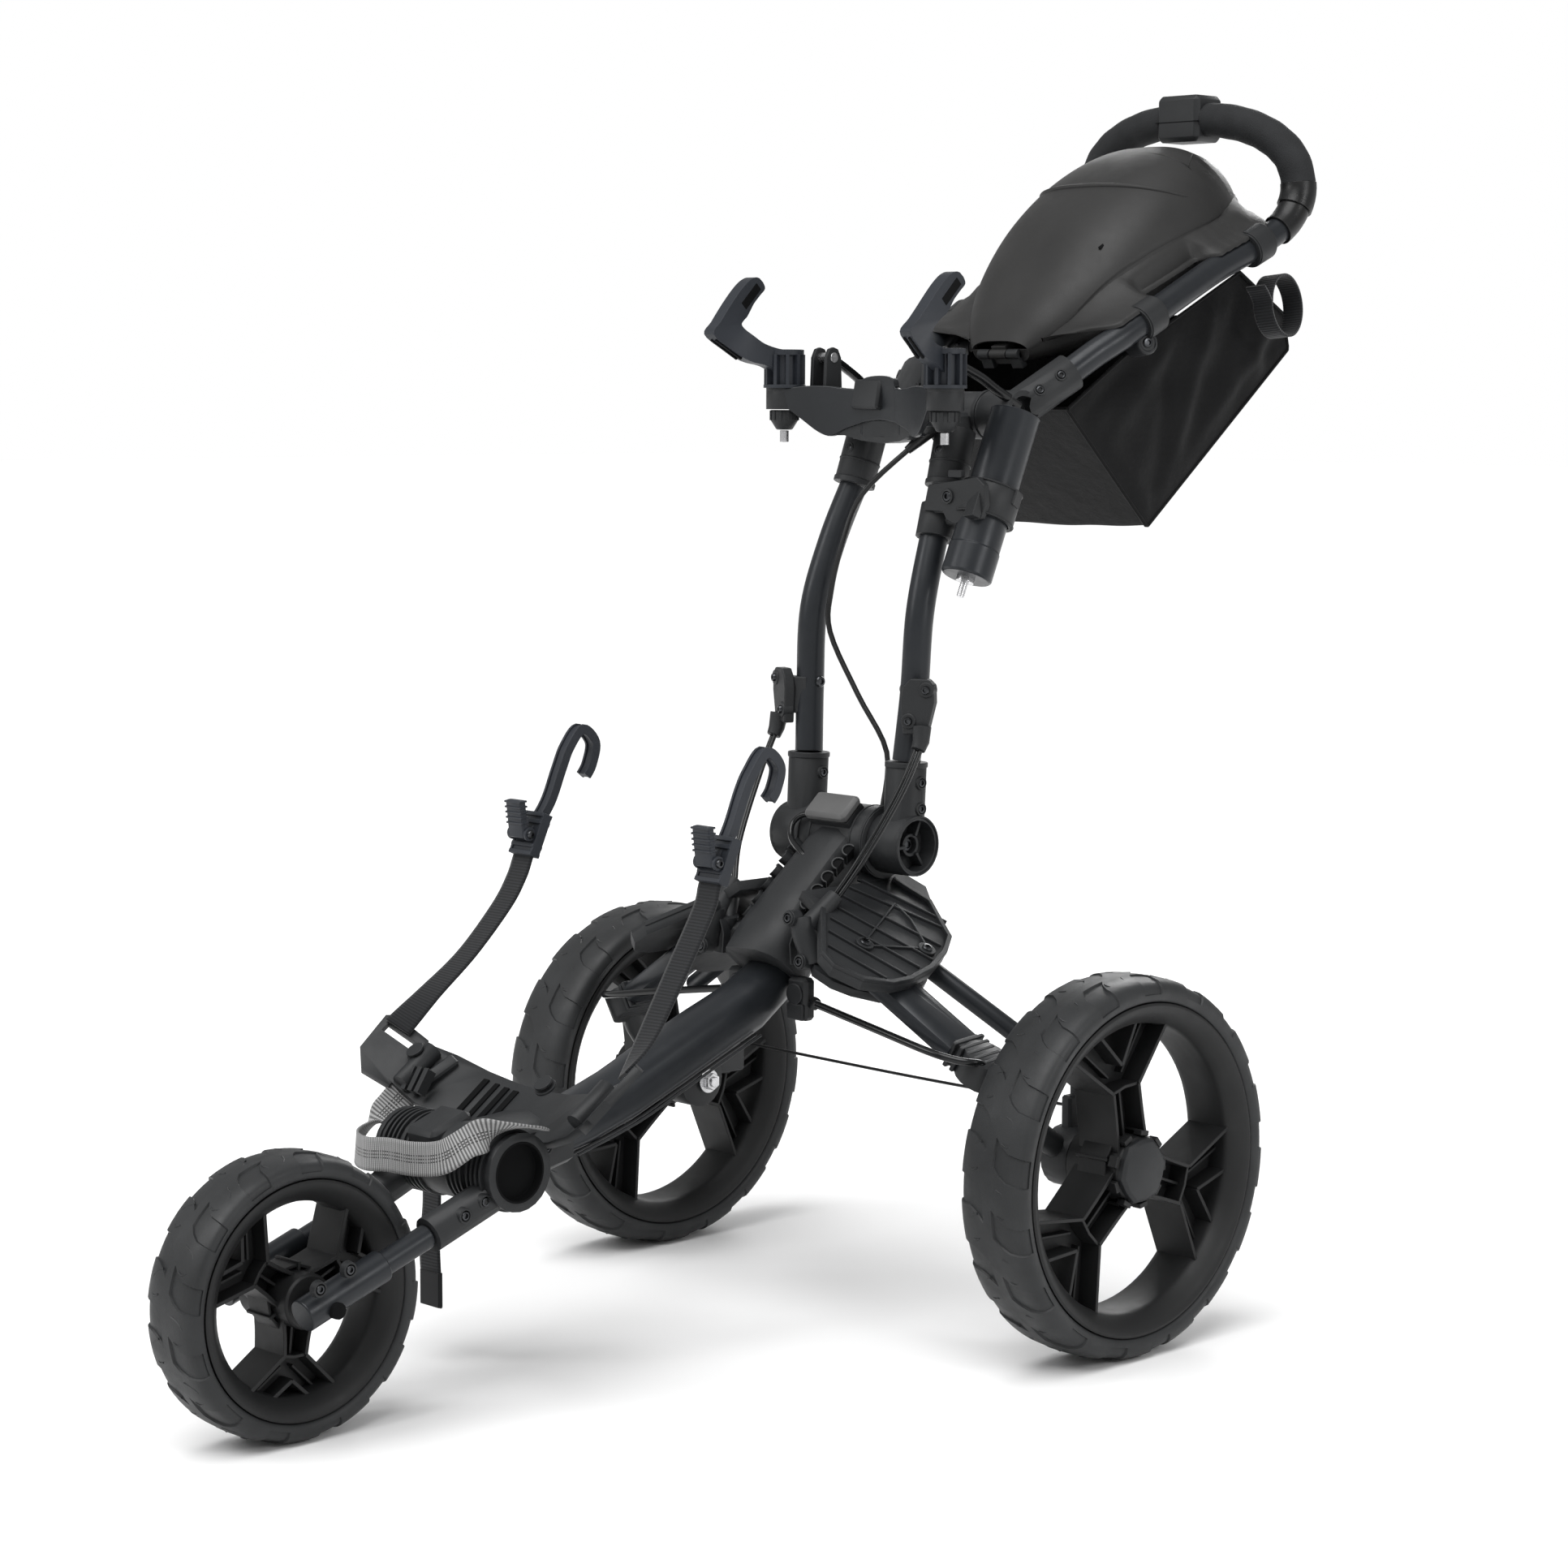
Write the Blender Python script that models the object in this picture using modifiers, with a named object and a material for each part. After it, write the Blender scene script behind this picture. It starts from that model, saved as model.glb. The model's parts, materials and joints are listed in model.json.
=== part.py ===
"""Three-wheel folding push cart. Metres, +Z up, -Y is the front, +X is the cart's left side.

Everything is modelled about the rear axle line (Y = 0) and shifted at the end, so that the
origin is at the bottom centre of the bounding box.
"""

import math

import bmesh
import bpy
from mathutils import Matrix, Vector

# Driving dimensions.
REAR_R = 0.1475  # rear tyre radius
REAR_W = 0.063  # rear tyre width
REAR_X = 0.2602  # rear wheel centre, each side
FRONT_R = 0.1022  # front tyre radius
FRONT_W = 0.056
FRONT_Y = -0.5916  # front axle
TUBE_R = 0.01135  # main tubes
HUB = (-0.0245, 0.378)  # y, z of the lower fold axis
TOP = (0.088, 0.717)  # y, z of the handle fold axis
FORK = (-0.432, 0.176)  # y, z of the fork fold axis
GAP = 0.0003  # clearance between touching pieces
BARREL_IN = 0.038  # inner face of the fold barrels
BARREL_OUT = 0.0712
LEG_NORMAL = Vector((0.52, 0.0, 0.854)).normalized()  # fold axis of the rear legs, left side
LEG_S1 = Vector((0.082, -0.100, 0.298))  # inner pivot of the wide rear leg
LEG_E1 = Vector((0.200, -0.086, 0.2262))  # its outer pivot
LEG_S2 = Vector((0.094, -0.044, 0.2906))  # inner pivot of the thin rear leg
LEG_E2 = Vector((0.200, -0.020, 0.229))
SLOPE = math.radians(28.0)  # rise of the console plane towards the back
CONSOLE_Y = 0.150
CONSOLE_Z = 0.770
SHIFT_Y = 0.1369  # from the rear axle line to the middle of the bounding box
EPS = 2e-6

for old in list(bpy.data.objects):
    bpy.data.objects.remove(old, do_unlink=True)
scene = bpy.context.scene
parts = bpy.data.collections.new("golf_push_cart")
scene.collection.children.link(parts)

COLOURS = {
    "plastic": ((0.022, 0.024, 0.026, 1), 0.55, 0.0),
    "tube": ((0.035, 0.038, 0.043, 1), 0.38, 0.6),
    "rubber": ((0.03, 0.031, 0.032, 1), 0.75, 0.0),
    "rim": ((0.012, 0.012, 0.013, 1), 0.6, 0.0),
    "hook": ((0.03, 0.034, 0.042, 1), 0.5, 0.0),
    "lid": ((0.05, 0.049, 0.048, 1), 0.5, 0.0),
    "button": ((0.12, 0.12, 0.12, 1), 0.5, 0.0),
    "webbing": ((0.30, 0.30, 0.30, 1), 0.85, 0.0),
    "fabric": ((0.013, 0.013, 0.014, 1), 0.8, 0.0),
    "steel": ((0.55, 0.55, 0.56, 1), 0.3, 1.0),
}
MATERIALS = {}
for key, (colour, rough, metal) in COLOURS.items():
    mat = bpy.data.materials.new(key)
    mat.use_nodes = True
    shader = mat.node_tree.nodes["Principled BSDF"]
    shader.inputs["Base Color"].default_value = colour
    shader.inputs["Roughness"].default_value = rough
    shader.inputs["Metallic"].default_value = metal
    mat.diffuse_color = colour
    MATERIALS[key] = mat


# Building tools.
def new_object(name, data):
    obj = bpy.data.objects.new(name, data)
    parts.objects.link(obj)
    return obj


def bake(obj):
    """Applies the modifiers and the transform, and leaves one clean closed mesh."""
    graph = bpy.context.evaluated_depsgraph_get()
    mesh = bpy.data.meshes.new_from_object(obj.evaluated_get(graph))
    mesh.transform(obj.matrix_world)
    work = bmesh.new()
    work.from_mesh(mesh)
    bmesh.ops.remove_doubles(work, verts=work.verts, dist=EPS)
    bmesh.ops.recalc_face_normals(work, faces=work.faces)
    work.to_mesh(mesh)
    work.free()
    name = obj.name
    bpy.data.objects.remove(obj, do_unlink=True)
    return new_object(name, mesh)


def facing(origin, zdir, xdir=(0, 0, 1)):
    """A matrix that puts local Z along zdir and local X as near xdir as it can."""
    z = Vector(zdir).normalized()
    x = Vector(xdir)
    x = x - z * x.dot(z)
    if x.length < 1e-6:
        x = z.orthogonal()
    x.normalize()
    y = z.cross(x)
    turn = Matrix((x, y, z)).transposed().to_4x4()
    return Matrix.Translation(Vector(origin)) @ turn


def cylinder(name, start, end, radius, steps=20, radius2=None):
    start = Vector(start)
    end = Vector(end)
    mesh = bpy.data.meshes.new(name)
    work = bmesh.new()
    bmesh.ops.create_cone(
        work,
        cap_ends=True,
        segments=steps,
        radius1=radius,
        radius2=radius if radius2 is None else radius2,
        depth=(end - start).length,
    )
    work.to_mesh(mesh)
    work.free()
    obj = new_object(name, mesh)
    obj.matrix_world = facing((start + end) / 2, end - start)
    return bake_now(obj)


def bake_now(obj):
    bpy.context.view_layer.update()
    return bake(obj)


def box(name, centre, size, zdir=(0, 0, 1), xdir=(1, 0, 0), bevel=0.0):
    mesh = bpy.data.meshes.new(name)
    work = bmesh.new()
    bmesh.ops.create_cube(work, size=1.0)
    bmesh.ops.scale(work, vec=Vector(size), verts=work.verts)
    work.to_mesh(mesh)
    work.free()
    obj = new_object(name, mesh)
    obj.matrix_world = facing(centre, zdir, xdir)
    if bevel:
        rounding = obj.modifiers.new("rounding", "BEVEL")
        rounding.width = bevel
        rounding.segments = 1
    return bake_now(obj)


def tube(name, points, radius, sides=4, steps=3, smooth=True, radii=None):
    """A round bar along the points, as a bevelled curve with closed ends."""
    curve = bpy.data.curves.new(name, "CURVE")
    curve.dimensions = "3D"
    curve.bevel_depth = radius
    curve.bevel_resolution = sides - 2
    curve.use_fill_caps = True
    curve.resolution_u = steps
    kind = "BEZIER" if smooth else "POLY"
    line = curve.splines.new(kind)
    if smooth:
        line.bezier_points.add(len(points) - 1)
        for index, (knot, point) in enumerate(zip(line.bezier_points, points)):
            knot.co = point
            knot.handle_left_type = "AUTO"
            knot.handle_right_type = "AUTO"
            knot.radius = 1.0 if radii is None else radii[index]
    else:
        line.points.add(len(points) - 1)
        for index, (knot, point) in enumerate(zip(line.points, points)):
            knot.co = (*point, 1.0)
            knot.radius = 1.0 if radii is None else radii[index]
    return bake_now(new_object(name, curve))


def plate(name, loops, thick, matrix):
    """A flat plate with holes, extruded both ways from the local XY plane."""
    curve = bpy.data.curves.new(name, "CURVE")
    curve.dimensions = "2D"
    curve.fill_mode = "BOTH"
    curve.extrude = thick / 2
    for loop in loops:
        line = curve.splines.new("POLY")
        line.points.add(len(loop) - 1)
        for knot, (x, y) in zip(line.points, loop):
            knot.co = (x, y, 0, 1)
        line.use_cyclic_u = True
    obj = new_object(name, curve)
    obj.matrix_world = matrix
    return bake_now(obj)


def lathe(name, profile, matrix, steps=32):
    """A closed (radius, height) outline turned about local Z."""
    mesh = bpy.data.meshes.new(name)
    count = len(profile)
    edges = [(i, (i + 1) % count) for i in range(count)]
    mesh.from_pydata([(r, 0, z) for r, z in profile], edges, [])
    obj = new_object(name, mesh)
    turn = obj.modifiers.new("turn", "SCREW")
    turn.axis = "Z"
    turn.steps = steps
    turn.render_steps = steps
    turn.use_merge_vertices = True
    turn.merge_threshold = EPS
    obj.matrix_world = matrix
    return bake_now(obj)


def loft(name, rings):
    """A skin over matching closed rings of points, with both ends closed."""
    mesh = bpy.data.meshes.new(name)
    work = bmesh.new()
    rows = [[work.verts.new(p) for p in ring] for ring in rings]
    count = len(rows[0])
    for row, following in zip(rows, rows[1:]):
        for i in range(count):
            j = (i + 1) % count
            work.faces.new((row[i], row[j], following[j], following[i]))
    work.faces.new(rows[0][::-1])
    work.faces.new(rows[-1])
    bmesh.ops.recalc_face_normals(work, faces=work.faces)
    work.to_mesh(mesh)
    work.free()
    return new_object(name, mesh)


def boolean(base, other, operation):
    step = base.modifiers.new(operation, "BOOLEAN")
    step.operation = operation
    step.solver = "EXACT"
    step.object = other
    base = bake_now(base)
    bpy.data.objects.remove(other, do_unlink=True)
    return base


def union(name, *pieces):
    base = pieces[0]
    for piece in pieces[1:]:
        base = boolean(base, piece, "UNION")
    base.name = name
    return base


def cut(base, *cutters):
    name = base.name
    for cutter in cutters:
        base = boolean(base, cutter, "DIFFERENCE")
    base.name = name
    return base


def mirrored(source, name):
    """The other side's copy of a part, as its own object."""
    mesh = source.data.copy()
    mesh.transform(Matrix.Scale(-1, 4, (1, 0, 0)))
    mesh.flip_normals()
    return new_object(name, mesh)


def finish(obj, material, pivot=None, angle=40.0):
    """Gives a part its material, its shading and its origin."""
    obj.data.materials.clear()
    obj.data.materials.append(MATERIALS[material])
    for face in obj.data.polygons:
        face.use_smooth = True
    obj.data.set_sharp_from_angle(angle=math.radians(angle))
    if pivot is not None:
        point = Vector(pivot)
        obj.data.transform(Matrix.Translation(-point))
        obj.location = point
    return obj


def flip(point):
    return Vector((-point[0], point[1], point[2]))


def ellipse(centre, across, up, half_w, half_h, count=14, power=1.0):
    """A ring of points round a rounded-rectangle section."""
    ring = []
    for i in range(count):
        a = 2 * math.pi * i / count
        c = math.copysign(abs(math.cos(a)) ** power, math.cos(a))
        s = math.copysign(abs(math.sin(a)) ** power, math.sin(a))
        ring.append(Vector(centre) + Vector(across) * (half_w * c) + Vector(up) * (half_h * s))
    return ring


def sweep(name, path, power=1.0, count=14):
    """A bar in the YZ plane; each path point is (y, z, half width in X, half height)."""
    rings = []
    for i, (y, z, half_w, half_h) in enumerate(path):
        before = path[max(i - 1, 0)]
        after = path[min(i + 1, len(path) - 1)]
        along = Vector((0, after[0] - before[0], after[1] - before[1])).normalized()
        up = Vector((1, 0, 0)).cross(along)
        rings.append(ellipse((0, y, z), (1, 0, 0), up, half_w, half_h, count, power))
    return loft(name, rings)


def polar(radius, degrees):
    a = math.radians(degrees)
    return (radius * math.cos(a), radius * math.sin(a))


# Wheels. Local X, Y of the wheel plane are world Y, Z.
def wheel_matrix(x, y, z):
    return facing((x, y, z), (1, 0, 0), (0, 1, 0))


def tyre(name, x, y, z, radius, width, seat, steps):
    half = width / 2
    deep = radius - seat
    profile = [
        (seat + GAP, half - 0.0065),
        (seat + 0.0012, half - 0.0015),
        (seat + 0.45 * deep, half),
        (radius - 0.25 * deep, half - 0.004),
        (radius - 0.06 * deep, half - 0.011),
        (radius, half - 0.020),
    ]
    profile += [(r, -h) for r, h in reversed(profile)]
    body = lathe(name, profile, wheel_matrix(x, y, z), steps)
    return finish(body, "rubber", (x, y, z))


def rim(name, x, y, z, seat, width, node_at, turn, hub_r, hub_in, hub_out, bore, steps):
    """A ring with three forked spokes: node_at is where each spoke forks."""
    half = width / 2
    inside = seat - 0.0165
    profile = [
        (seat, half - 0.0068),
        (seat + 0.0008, half - 0.0025),
        (seat - 0.009, half - 0.0035),
        (inside, half - 0.010),
        (inside, -half + 0.010),
        (seat - 0.009, -half + 0.0035),
        (seat + 0.0008, -half + 0.0025),
        (seat, -half + 0.0068),
    ]
    ring = lathe(name, profile, wheel_matrix(x, y, z), steps)
    edge = inside - 0.001
    outer = [polar(inside + 0.006, 360 * i / steps) for i in range(steps)]
    holes = []
    for k in range(3):
        a = turn + 120 * k
        far = [polar(edge, a + d) for d in (33, 17, 0, -17, -33)]
        holes.append([polar(node_at + 0.012, a)] + far[::-1])
        b = a + 60
        far = [polar(edge, b + d) for d in (-12, 0, 12)]
        near = [polar(node_at * 0.84, b + 27), polar(node_at * 0.62, b), polar(node_at * 0.84, b - 27)]
        holes.append(far + near)
    web = plate("web", [outer] + holes, width * 0.42, wheel_matrix(x, y, z))
    hub = cylinder("hub", (x + hub_in, y, z), (x + hub_out, y, z), hub_r, 18)
    body = union(name, ring, web, hub)
    if bore:
        low, high, radius = bore
        body = cut(body, cylinder("bore", (x + low, y, z), (x + high, y, z), radius, 14))
    return finish(body, "rim", (x, y, z))


rear_bore = (-0.04, 0.024, 0.0065)
for side, sign in (("left", 1), ("right", -1)):
    tyre("rear_tyre_" + side, sign * REAR_X, 0, REAR_R, REAR_R, REAR_W, 0.1285, 36)
seat = 0.1285 - GAP
rear_rim = rim(
    "rear_rim_left", REAR_X, 0, REAR_R, seat, REAR_W, 0.066, 100, 0.026, -0.029, 0.029, rear_bore, 33
)
other = mirrored(rear_rim, "rear_rim_right")
finish(other, "rim")
other.location = flip(rear_rim.location)
tyre("front_tyre", 0, FRONT_Y, FRONT_R, FRONT_R, FRONT_W, 0.0858, 32)
rim(
    "front_rim", 0, FRONT_Y, FRONT_R, 0.0858 - GAP, FRONT_W, 0.041, 24, 0.022, -0.029, 0.029,
    (-0.05, 0.05, 0.0065), 30,
)

# Main beam, with the cradle and the front barrel.
BEAM = [
    (-0.110, 0.2785, 0.0205, 0.0185),
    (-0.150, 0.254, 0.0225, 0.0205),
    (-0.190, 0.239, 0.0230, 0.0210),
    (-0.235, 0.221, 0.0230, 0.0210),
    (-0.280, 0.203, 0.0230, 0.0205),
    (-0.325, 0.189, 0.0235, 0.0195),
    (-0.360, 0.182, 0.0250, 0.0180),
]
finish(sweep("main_beam", BEAM, 0.75, 16), "tube")

block = sweep(
    "block",
    [
        (-0.3500, 0.1830, 0.031, 0.021),
        (-0.385, 0.178, 0.032, 0.023),
        (-0.408, 0.176, 0.034, 0.024),
        (-0.432, 0.176, 0.0345, 0.022),
    ],
    0.6,
    12,
)
barrel = cylinder("b", (-0.0355, *FORK), (0.0355, *FORK), 0.0285, 24)
REACH = 0.130  # half width of the bag cradle
REST = Vector((0, 0.81, 0.58)).normalized()  # the cradle's front-to-back line


def cradle_point(x):
    bow = (x / REACH) ** 2
    return Vector((x, -0.370 - 0.030 * bow, 0.197 + 0.038 * bow))


bridge = []
for i in range(9):
    x = 0.118 * (i - 4) / 4
    along = (cradle_point(x + 0.001) - cradle_point(x - 0.001)).normalized()
    normal = along.cross(REST).normalized()
    middle = cradle_point(x)
    edge = REST * (0.026 if 0 < i < 8 else 0.020)
    bridge.append(
        [
            middle + edge + normal * 0.003,
            middle - edge + normal * 0.003,
            middle - edge - normal * 0.003,
            middle + edge - normal * 0.003,
        ]
    )
saddle = loft("saddle", bridge)
front = union("front_hub", block, barrel, saddle)
along = Vector((0.81, -0.33, 0.48)).normalized()
normal = along.cross(REST).normalized()
wing = plate(
    "wing",
    [
        [(-0.020, -0.024), (0.006, -0.026), (0.019, -0.012), (0.022, 0.022), (0.016, 0.027), (-0.018, 0.025)],
        [(-0.013, 0.010), (0.016, 0.010), (0.016, 0.018), (-0.013, 0.018)],
    ],
    0.007,
    facing(cradle_point(0.127), normal, along),
)
pins = cradle_point(0.104) + normal * 0.006
boss = cylinder("boss", pins + REST * 0.018, pins - REST * 0.020, 0.0080, 12)
ribs = cradle_point(0.088) + Vector((0, 0, 0.005))
rib = box("rib", ribs, (0.010, 0.036, 0.012), normal, (0.9, 0, 0.3), bevel=0.0015)
for piece in (wing, boss, rib):
    copy = mirrored(piece, "copy")
    front = union("front_hub", front, piece, copy)
latch = box("latch", (-0.014, -0.440, 0.196), (0.034, 0.040, 0.020), (0, -0.35, 1), bevel=0.004)
front = union("front_hub", front, latch)
front = cut(
    front,
    cylinder("bore", (-0.04, *FORK), (0.04, *FORK), 0.0065, 14),
    sweep("socket", [(y, z, w + GAP, h + GAP) for y, z, w, h in BEAM[4:]], 0.75, 16),
)
finish(front, "plastic")


def ribbon(name, path, width, thick):
    """Webbing: each path point is (position, direction across the width)."""
    rings = []
    for i, (point, across) in enumerate(path):
        before = Vector(path[max(i - 1, 0)][0])
        after = Vector(path[min(i + 1, len(path) - 1)][0])
        along = (after - before).normalized()
        side = Vector(across)
        side = (side - along * side.dot(along)).normalized()
        up = side.cross(along)
        w = side * (width / 2)
        t = up * (thick / 2)
        centre = Vector(point)
        rings.append([centre + w + t, centre - w + t, centre - w - t, centre + w - t])
    return loft(name, rings)


pull = [
    ((-0.106, -0.409, 0.2000), (0, 0.8, 0.4)),
    ((-0.112, -0.426, 0.192), (0, 0.5, 0.8)),
    ((-0.094, -0.456, 0.174), (0, 0.1, 1)),
    ((-0.062, -0.4725, 0.176), (0, 0.05, 1)),
    ((-0.030, -0.4765, 0.1805), (0, 0.05, 1)),
    ((0.004, -0.4785, 0.1830), (0, 0.05, 1)),
    ((0.036, -0.4785, 0.1895), (-0.2, 0.3, 1)),
    ((0.058, -0.463, 0.2045), (0.6, 0.6, 0.3)),
    ((0.064, -0.436, 0.2085), (1, 0.3, 0)),
    ((0.060, -0.412, 0.2045), (1, 0.3, 0)),
]
finish(ribbon("pull_strap", pull, 0.025, 0.0016), "webbing")
tail = [((-0.085, -0.393, z), (1, 0, 0)) for z in (0.195, 0.15, 0.095, 0.042)]
finish(ribbon("strap_tail", tail, 0.022, 0.0016), "fabric")

# Fork: two arms that fold about the front barrel, and the axle.
arm = union(
    "fork_arm_left",
    cylinder("a", (0.0358, *FORK), (0.0640, *FORK), 0.0275, 24),
    cylinder("b", (0.0620, *FORK), (0.0665, *FORK), 0.0290, 24),
    cylinder("c", (0.0500, -0.438, 0.1625), (0.0470, -0.5005, 0.1383), 0.0135, 16),
)
arm = cut(arm, cylinder("d", (0.0530, *FORK), (0.0700, *FORK), 0.0215, 20))
fork_pivot = (0, *FORK)
far_arm = cut(mirrored(arm, "fork_arm_right"), cylinder("e", (-0.0600, *FORK), (-0.0300, *FORK), 0.0065, 14))
finish(far_arm, "plastic", fork_pivot)
arm = union("fork_arm_left", arm, cylinder("bolt", (-0.0560, *FORK), (0.0580, *FORK), 0.006, 12))
finish(arm, "plastic", fork_pivot)
prong = union(
    "fork_tube_left",
    cylinder("a", (0.047, -0.5018, 0.1379), (0.047, -0.5995, 0.1036), 0.009, 14),
    cylinder("b", (0.047, -0.5430, 0.1234), (0.047, -0.6120, 0.0993), 0.012, 16),
)
prong = cut(prong, cylinder("c", (0.03, FRONT_Y, FRONT_R), (0.07, FRONT_Y, FRONT_R), 0.0063, 12))
finish(mirrored(prong, "fork_tube_right"), "tube", fork_pivot)
finish(prong, "tube", fork_pivot)
axle = cylinder("front_axle", (-0.0625, FRONT_Y, FRONT_R), (0.0625, FRONT_Y, FRONT_R), 0.006, 12)
finish(axle, "steel", fork_pivot)

# Hub: fold barrel, spine and the plates that hold the rear legs.
SPINE = [
    (-0.0245, 0.378, 0.0260, 0.0250),
    (-0.0550, 0.352, 0.0275, 0.0265),
    (-0.0850, 0.325, 0.0290, 0.0280),
    (-0.1080, 0.302, 0.0320, 0.0300),
    (-0.1230, 0.283, 0.0335, 0.0300),
]
spine = sweep("hub", SPINE, 0.7, 14)
hub = union("hub", spine, cylinder("b", (-0.0375, *HUB), (0.0375, *HUB), 0.0285, 24))
origin = Vector((0.070, -0.083, 0.305))


def leg_plane(height):
    """Local X runs back along +Y, local Y outwards and down the leg."""
    return facing(origin + LEG_NORMAL * height, -LEG_NORMAL, (0, 1, 0))


def on_leg(point, height):
    return Vector(point) + LEG_NORMAL * height


UPPER = [
    (-0.036, -0.050), (-0.036, -0.026), (-0.078, 0.024), (-0.079, 0.040), (-0.064, 0.060), (-0.040, 0.069),
    (-0.018, 0.068), (0.014, 0.059), (0.043, 0.044), (0.063, 0.028), (0.071, 0.006), (0.080, -0.017), (0.066, -0.050),
]
LOWER = [
    (-0.034, -0.055), (-0.034, -0.022), (-0.053, 0.006), (-0.047, 0.023), (-0.035, 0.035), (-0.014, 0.047),
    (0.018, 0.052), (0.045, 0.038), (0.062, 0.018), (0.055, -0.050),
]
pieces = [
    plate("up", [UPPER], 0.008, leg_plane(0.0155)),
    plate("low", [LOWER], 0.007, leg_plane(-0.0155)),
    cylinder("s1", on_leg(LEG_S1, 0.0150), on_leg(LEG_S1, -0.0160), 0.006, 12),
    cylinder("s2", on_leg(LEG_S2, 0.0150), on_leg(LEG_S2, -0.0160), 0.0045, 12),
    box("lug", (0.034, -0.116, 0.262), (0.022, 0.012, 0.034), bevel=0.003),
    cylinder("stay", (0.026, -0.105, 0.306), (0.0500, -0.1160, 0.3060), 0.0095, 12),
    cylinder("stay_body", (0.0462, -0.1205, 0.3205), (0.0545, -0.1185, 0.2915), 0.0092, 14),
    cylinder("stay_top", (0.0475, -0.1190, 0.3160), (0.0548, -0.1062, 0.3372), 0.0066, 12),
]
for piece in pieces:
    copy = mirrored(piece, "copy")
    hub = union("hub", hub, piece, copy)
stem_out = Vector((0, -0.667, 0.745))
hub_centre = Vector((0, *HUB))
hub = cut(
    hub,
    sweep("socket", [(y, z, w + GAP, h + GAP) for y, z, w, h in BEAM[:4]], 0.75, 16),
    cylinder("bore", (-0.05, *HUB), (0.05, *HUB), 0.0065, 14),
    cylinder("well", hub_centre + stem_out * 0.018, hub_centre + stem_out * 0.045, 0.0088, 14),
)
for sign in (1, -1):
    reach = Vector((sign * 0.0392, *HUB))
    out = Vector((sign * 0.0800, *HUB))
    hub = cut(hub, cylinder("room", reach - Vector((sign * 0.0009, 0, 0)), out, 0.0262, 24))
finish(hub, "plastic")
button = union(
    "release_button",
    box("top", hub_centre + stem_out * 0.0358, (0.046, 0.026, 0.0095), stem_out, (1, 0, 0), 0.003),
    cylinder("stem", hub_centre + stem_out * 0.0225, hub_centre + stem_out * 0.0340, 0.0082, 14),
)
finish(button, "button", hub_centre + stem_out * 0.0358)

# Rear legs, the wheel carriers and the fold rods. Built on the left and mirrored.
leg_dir = (LEG_E1 - LEG_S1).normalized()
leg_side = LEG_NORMAL.cross(leg_dir).normalized()
inner = LEG_S1 - leg_dir * 0.017
outer = LEG_E1 - leg_dir * 0.0222
leg = loft(
    "leg",
    [
        ellipse(inner, leg_side, LEG_NORMAL, 0.0150, 0.0080, 14, 0.7),
        ellipse(LEG_S1 - leg_dir * 0.006, leg_side, LEG_NORMAL, 0.0205, 0.0100, 14, 0.7),
        ellipse(outer, leg_side, LEG_NORMAL, 0.0205, 0.0100, 14, 0.7),
    ],
)
leg.name = "rear_leg_left"
leg = cut(leg, cylinder("bore", on_leg(LEG_S1, 0.02), on_leg(LEG_S1, -0.02), 0.0065, 12))
finish(mirrored(leg, "rear_leg_right"), "tube", flip(LEG_S1))
finish(leg, "tube", LEG_S1)

thin_dir = (LEG_E2 - LEG_S2).normalized()
thin = union(
    "rear_brace_left",
    cylinder("a", LEG_S2 + thin_dir * 0.004, LEG_E2 - thin_dir * 0.012, 0.0078, 14),
    cylinder("b", on_leg(LEG_S2, -0.0085), on_leg(LEG_S2, 0.0085), 0.0105, 14),
)
thin = cut(thin, cylinder("bore", on_leg(LEG_S2, 0.02), on_leg(LEG_S2, -0.02), 0.005, 12))
finish(mirrored(thin, "rear_brace_right"), "tube", flip(LEG_S2))
finish(thin, "tube", LEG_S2)

hubside = Vector((REAR_X - 0.0305, 0, REAR_R))
carrier = union(
    "wheel_carrier_left",
    cylinder("a", on_leg(LEG_E1, -0.0110), on_leg(LEG_E1, 0.0110), 0.0195, 18),
    tube(
        "b",
        [
            LEG_E1 + Vector((0.006, 0.006, -0.004)),
            (0.213, -0.068, 0.202),
            (0.2145, -0.034, 0.168),
            (0.2145, 0, REAR_R),
        ],
        0.0095,
        6,
        3,
    ),
    cylinder("c", (0.2040, 0, REAR_R), hubside, 0.0235, 20),
    box("d", (0.2085, 0.030, 0.1790), (0.008, 0.044, 0.060), bevel=0.002),
    cylinder("e", hubside - Vector((0.004, 0, 0)), (REAR_X + 0.020, 0, REAR_R), 0.006, 12),
    box("f", (0.2125, 0.010, 0.170), (0.010, 0.030, 0.05), bevel=0.002),
)
finish(mirrored(carrier, "wheel_carrier_right"), "plastic", flip(LEG_E1))
finish(carrier, "plastic", LEG_E1)

rod_root = Vector((0.0498, -0.1175, 0.2600))
rod = union(
    "fold_rod_left",
    cylinder("a", rod_root + Vector((0.001, 0, 0)), (0.175, -0.1220, 0.2400), 0.0028, 10),
    cylinder("eye", rod_root - LEG_NORMAL * 0.0030, rod_root + LEG_NORMAL * 0.0030, 0.0034, 12),
)
finish(mirrored(rod, "fold_rod_right"), "steel", flip(rod_root))
finish(rod, "steel", rod_root)
span = tube("link_cable", [(-0.2040, 0.041, 0.176), (0, 0.041, 0.1745), (0.2040, 0.041, 0.176)], 0.0013, 3, 4)
finish(span, "plastic")

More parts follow.
